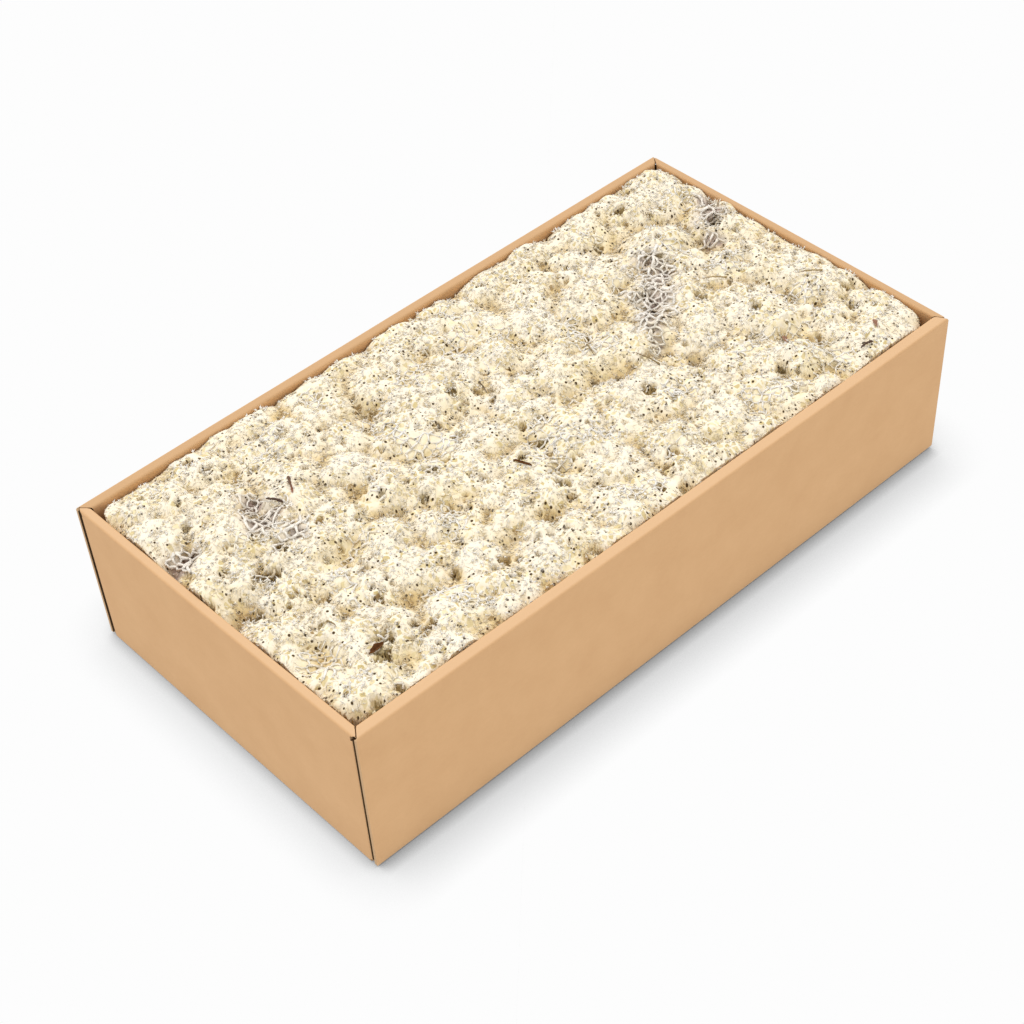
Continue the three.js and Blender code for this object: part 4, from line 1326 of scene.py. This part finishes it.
twig_colours = (TWIG_BROWN, TWIG_DARK, TWIG_RED)
twig_finish = dry_finish("twig_bark", twig_colours, grain_size=1.1, bumps=0.2)
for name in nodes_named("twig"):
    line = middle_line(name, TWIG_STEPS, TWIG_WOBBLE)
    share = np.linspace(0, 1, TWIG_STEPS)
    swell = sum(np.exp(-(((share - s) / KNOT_SPREAD) ** 2)) for s in TWIG_KNOTS)
    radii = TWIG_RADIUS * (1 - TWIG_TAPER * share) * (1 + KNOT_SWELL * swell)
    radii[[0, -1]] *= TWIG_ENDS
    points, faces = tube(line, radii, TWIG_SIDES)
    points += chance(-TWIG_ROUGH, TWIG_ROUGH, points.shape)
    tone, redness = TWIG_LOOKS.get(name, TWIG_LOOK)
    twig = Growth()
    twig.add(points, faces, np.repeat(share * redness, TWIG_SIDES), tone=tone)
    root = line[int(TWIG_KNOTS[1] * TWIG_STEPS)]
    shoot = root + leaning(chance(0, 6.3), STUB_LEAN) * STUB_LENGTH
    twig.add(*tube([root, (root + shoot) / 2 + 0.1, shoot], STUB_RADII, 6), 0.2, tone=tone)
    litter_piece(name, name.replace("twig", "broken_twig"), twig, twig_finish)


# Bark flakes and leaf bits
# Thin curled scraps: flakes of red-brown pine bark, ridged along the grain, and bits of a dry leaf.
# They curled as they dried, and lie loose on the moss.
SCRAP_RINGS = 8
SCRAP_SIDES = 32
SCRAP_TONE = 0.4
BARK_RED = (0.15, 0.055, 0.016)
BARK_DARK = (0.03, 0.013, 0.006)
BARK_PALE = (0.27, 0.125, 0.045)
BARK_WIDTHS = {"bark_flake_1": 0.7, "bark_flake_2": 0.32}  # as a share of the node's
LEAF_BROWN = (0.36, 0.19, 0.12)
LEAF_DARK = (0.17, 0.08, 0.05)
LEAF_PALE = (0.50, 0.33, 0.22)


def curled_scrap(name, narrow, thickness, curl, ridges, point):
    """A thin curled scrap in the place of a flat node.

    narrow is its width as a share of the node's, curl how far its sides turn up, ridges how deep
    its grain is and point how far its one end is drawn out.
    """
    points = node_points(name)
    middle = points.mean(axis=0)
    along, across, thin = np.linalg.svd(points - middle)[2]
    if thin[2] < 0:
        thin = -thin
    half_long = np.ptp((points - middle) @ along) / 2
    half_wide = np.ptp((points - middle) @ across) / 2 * narrow
    tops = []
    for ring in range(SCRAP_RINGS + 1):
        share = ring / SCRAP_RINGS
        for k in range(SCRAP_SIDES if ring else 1):
            turn = 2 * math.pi * k / SCRAP_SIDES
            out_x, out_y = math.cos(turn), math.sin(turn)
            ragged = 1 + 0.45 * noise.noise(Vector((2.2 * out_x, 2.2 * out_y, middle[0])))
            ragged += 0.12 * noise.noise(Vector((9 * out_x, 9 * out_y, middle[1])))
            u = share * ragged * out_x
            v = share * ragged * out_y * (1 - point * max(0, u))
            rise = curl * half_wide * v * v + 0.25 * noise.noise(Vector((2 * u, 3 * v, middle[0])))
            rise += ridges * noise.noise(Vector((1.5 * u, 12 * v, middle[1])))
            tops.append((u, v, rise, share))
    tops = np.array(tops)
    flat = middle + np.outer(tops[:, 0] * half_long, along)
    flat += np.outer(tops[:, 1] * half_wide, across)
    upper = flat + np.outer(tops[:, 2], thin)
    lower = upper - thin * thickness
    triangles = []
    count = len(tops)
    for k in range(SCRAP_SIDES):
        n = (k + 1) % SCRAP_SIDES
        sheet = [(0, 1 + k, 1 + n)]
        for ring in range(SCRAP_RINGS - 1):
            a, b = 1 + ring * SCRAP_SIDES + k, 1 + ring * SCRAP_SIDES + n
            sheet += [(a, a + SCRAP_SIDES, b + SCRAP_SIDES), (a, b + SCRAP_SIDES, b)]
        triangles += sheet + [(c + count, b + count, a + count) for a, b, c in sheet]
        a, b = count - SCRAP_SIDES + k, count - SCRAP_SIDES + n
        triangles += [(a, a + count, b + count), (a, b + count, b)]
    if np.linalg.det(np.stack([along, across, thin])) < 0:
        triangles = np.array(triangles)[:, ::-1]
    scrap = Growth()
    scrap.add(np.vstack([upper, lower]), triangles, np.tile(tops[:, 3], 2) * 0.8, tone=SCRAP_TONE)
    return scrap


bark_colours = (BARK_RED, BARK_DARK, BARK_PALE)
bark_finish = dry_finish("bark_scrap", bark_colours, grain_size=1.4, bumps=0.25, shine=0.05)
leaf_colours = (LEAF_BROWN, LEAF_DARK, LEAF_PALE)
leaf_finish = dry_finish("leaf_scrap", leaf_colours, grain_size=2.2, bumps=0.1)
for name in nodes_named("bark_flake"):
    width = BARK_WIDTHS[name]
    scrap = curled_scrap(name, width, thickness=0.6, curl=0.6, ridges=0.5, point=0.3)
    litter_piece(name, name.replace("bark_flake", "bark_scrap"), scrap, bark_finish)
for name in nodes_named("leaf_bit"):
    scrap = curled_scrap(name, 0.9, thickness=0.3, curl=0.7, ridges=0.06, point=0.85)
    litter_piece(name, name.replace("leaf_bit", "leaf_scrap"), scrap, leaf_finish)


# White table, light and camera
# A white table under a plain soft light from above and a little from the front, as in a studio. The
# table glows evenly with its own light, and the short soft shade round the tray is painted shade in
# its finish, lighter towards the two ends and darker at the front.
TABLE_SIZE = 30.0
TABLE_DROP = 0.0002
TABLE_LIGHT = (0.982, 0.982, 0.982)
TABLE_SHADE = (0.29, 0.29, 0.29)
SHADE_REACH = 0.034
CONTACT_SHADE = (0.15, 0.15, 0.15)  # right beside the tray, over the wide soft shade
CONTACT_REACH = 0.008
SHADE_SAMPLES = 5
SHADE_LEAN_TO_ENDS = 1.7  # how far the painted shade's sky leans out past the two ends, for each metre, so that the painted shade is lighter there
# how far that sky leans to the back, so that the painted shade is darker in front of the tray
SHADE_LEAN_BACK = 0.12
SKY_STRENGTH = 1.05
SUN_STRENGTH = 1.25
SUN_SPREAD = 22
SUN_PLACE = (0.35, 0.9, 1.5)

table_mesh = bpy.data.meshes.new("table")
ends = (-TABLE_SIZE / 2, TABLE_SIZE / 2)
corners = [(x, y, -TABLE_DROP) for x in ends for y in ends]
table_mesh.from_pydata(corners, [], [(0, 2, 3, 1)])
table = new_piece("table", table_mesh)
glowing_table, shader, place = new_finish("glowing_table", Roughness=1.0, Specular_IOR_Level=0.0)
# The table reflects no light: it glows, and its shade is painted into its glow
shader.inputs["Base Color"].default_value = (0, 0, 0, 1)
shader.inputs["Emission Strength"].default_value = 1.0
lean = {"X": place.parts()[0] * SHADE_LEAN_TO_ENDS, "Y": SHADE_LEAN_BACK, "Z": 1.0}
lean = place.node("CombineXYZ", inputs=lean)


def open_sky(reach):
    inputs = {"Distance": reach, "Normal": lean}
    return place.node("AmbientOcclusion", {"samples": SHADE_SAMPLES}, inputs, "AO")


# Painted shade in the table's glow: wide and soft where the tray hides the sky, darker right at its
# foot
soft_shade = open_sky(SHADE_REACH).blend(TABLE_SHADE, TABLE_LIGHT)
contact = open_sky(CONTACT_REACH).blend(CONTACT_SHADE, (1, 1, 1))
lit = place.node("VectorMath", {"operation": "MULTIPLY"}, {0: soft_shade, 1: contact})
feed(shader, {"Emission Color": lit})
table.data.materials.append(glowing_table)

scene = bpy.context.scene
scene.world = bpy.data.worlds.new("studio")
scene.world.use_nodes = True
sky = scene.world.node_tree.nodes["Background"].inputs
sky["Color"].default_value = (1, 1, 1, 1)
sky["Strength"].default_value = SKY_STRENGTH
lamp = bpy.data.lights.new("softbox", "SUN")
lamp.energy = SUN_STRENGTH
lamp.angle = math.radians(SUN_SPREAD)
softbox = bpy.data.objects.new("softbox", lamp)
scene.collection.objects.link(softbox)
softbox.rotation_euler = Vector(SUN_PLACE).to_track_quat("Z", "Y").to_euler()

# The camera looks down on the front corner from the left, and is turned a little
AZIMUTH, ELEVATION, ROLL = (math.radians(a) for a in (-40.2064, 43.5619, -4.1139))
CAMERA_PLACE = (-0.5231, -0.6018, 0.7773)
LENS = 73.79
SENSOR = 36
camera_data = bpy.data.cameras.new("camera")
camera_data.sensor_width = SENSOR
camera_data.lens = LENS
camera = bpy.data.objects.new("camera", camera_data)
scene.collection.objects.link(camera)
level = math.cos(ELEVATION)
back = Vector((math.sin(AZIMUTH) * level, -math.cos(AZIMUTH) * level, math.sin(ELEVATION)))
right = (-back).cross(Vector((0, 0, 1))).normalized()
up = back.cross(right)
turned_right = right * math.cos(ROLL) + up * math.sin(ROLL)
turned_up = up * math.cos(ROLL) - right * math.sin(ROLL)
turned = Matrix((turned_right, turned_up, back)).transposed().to_4x4()
camera.matrix_world = Matrix.Translation(CAMERA_PLACE) @ turned
scene.camera = camera
scene.view_settings.view_transform = "Standard"
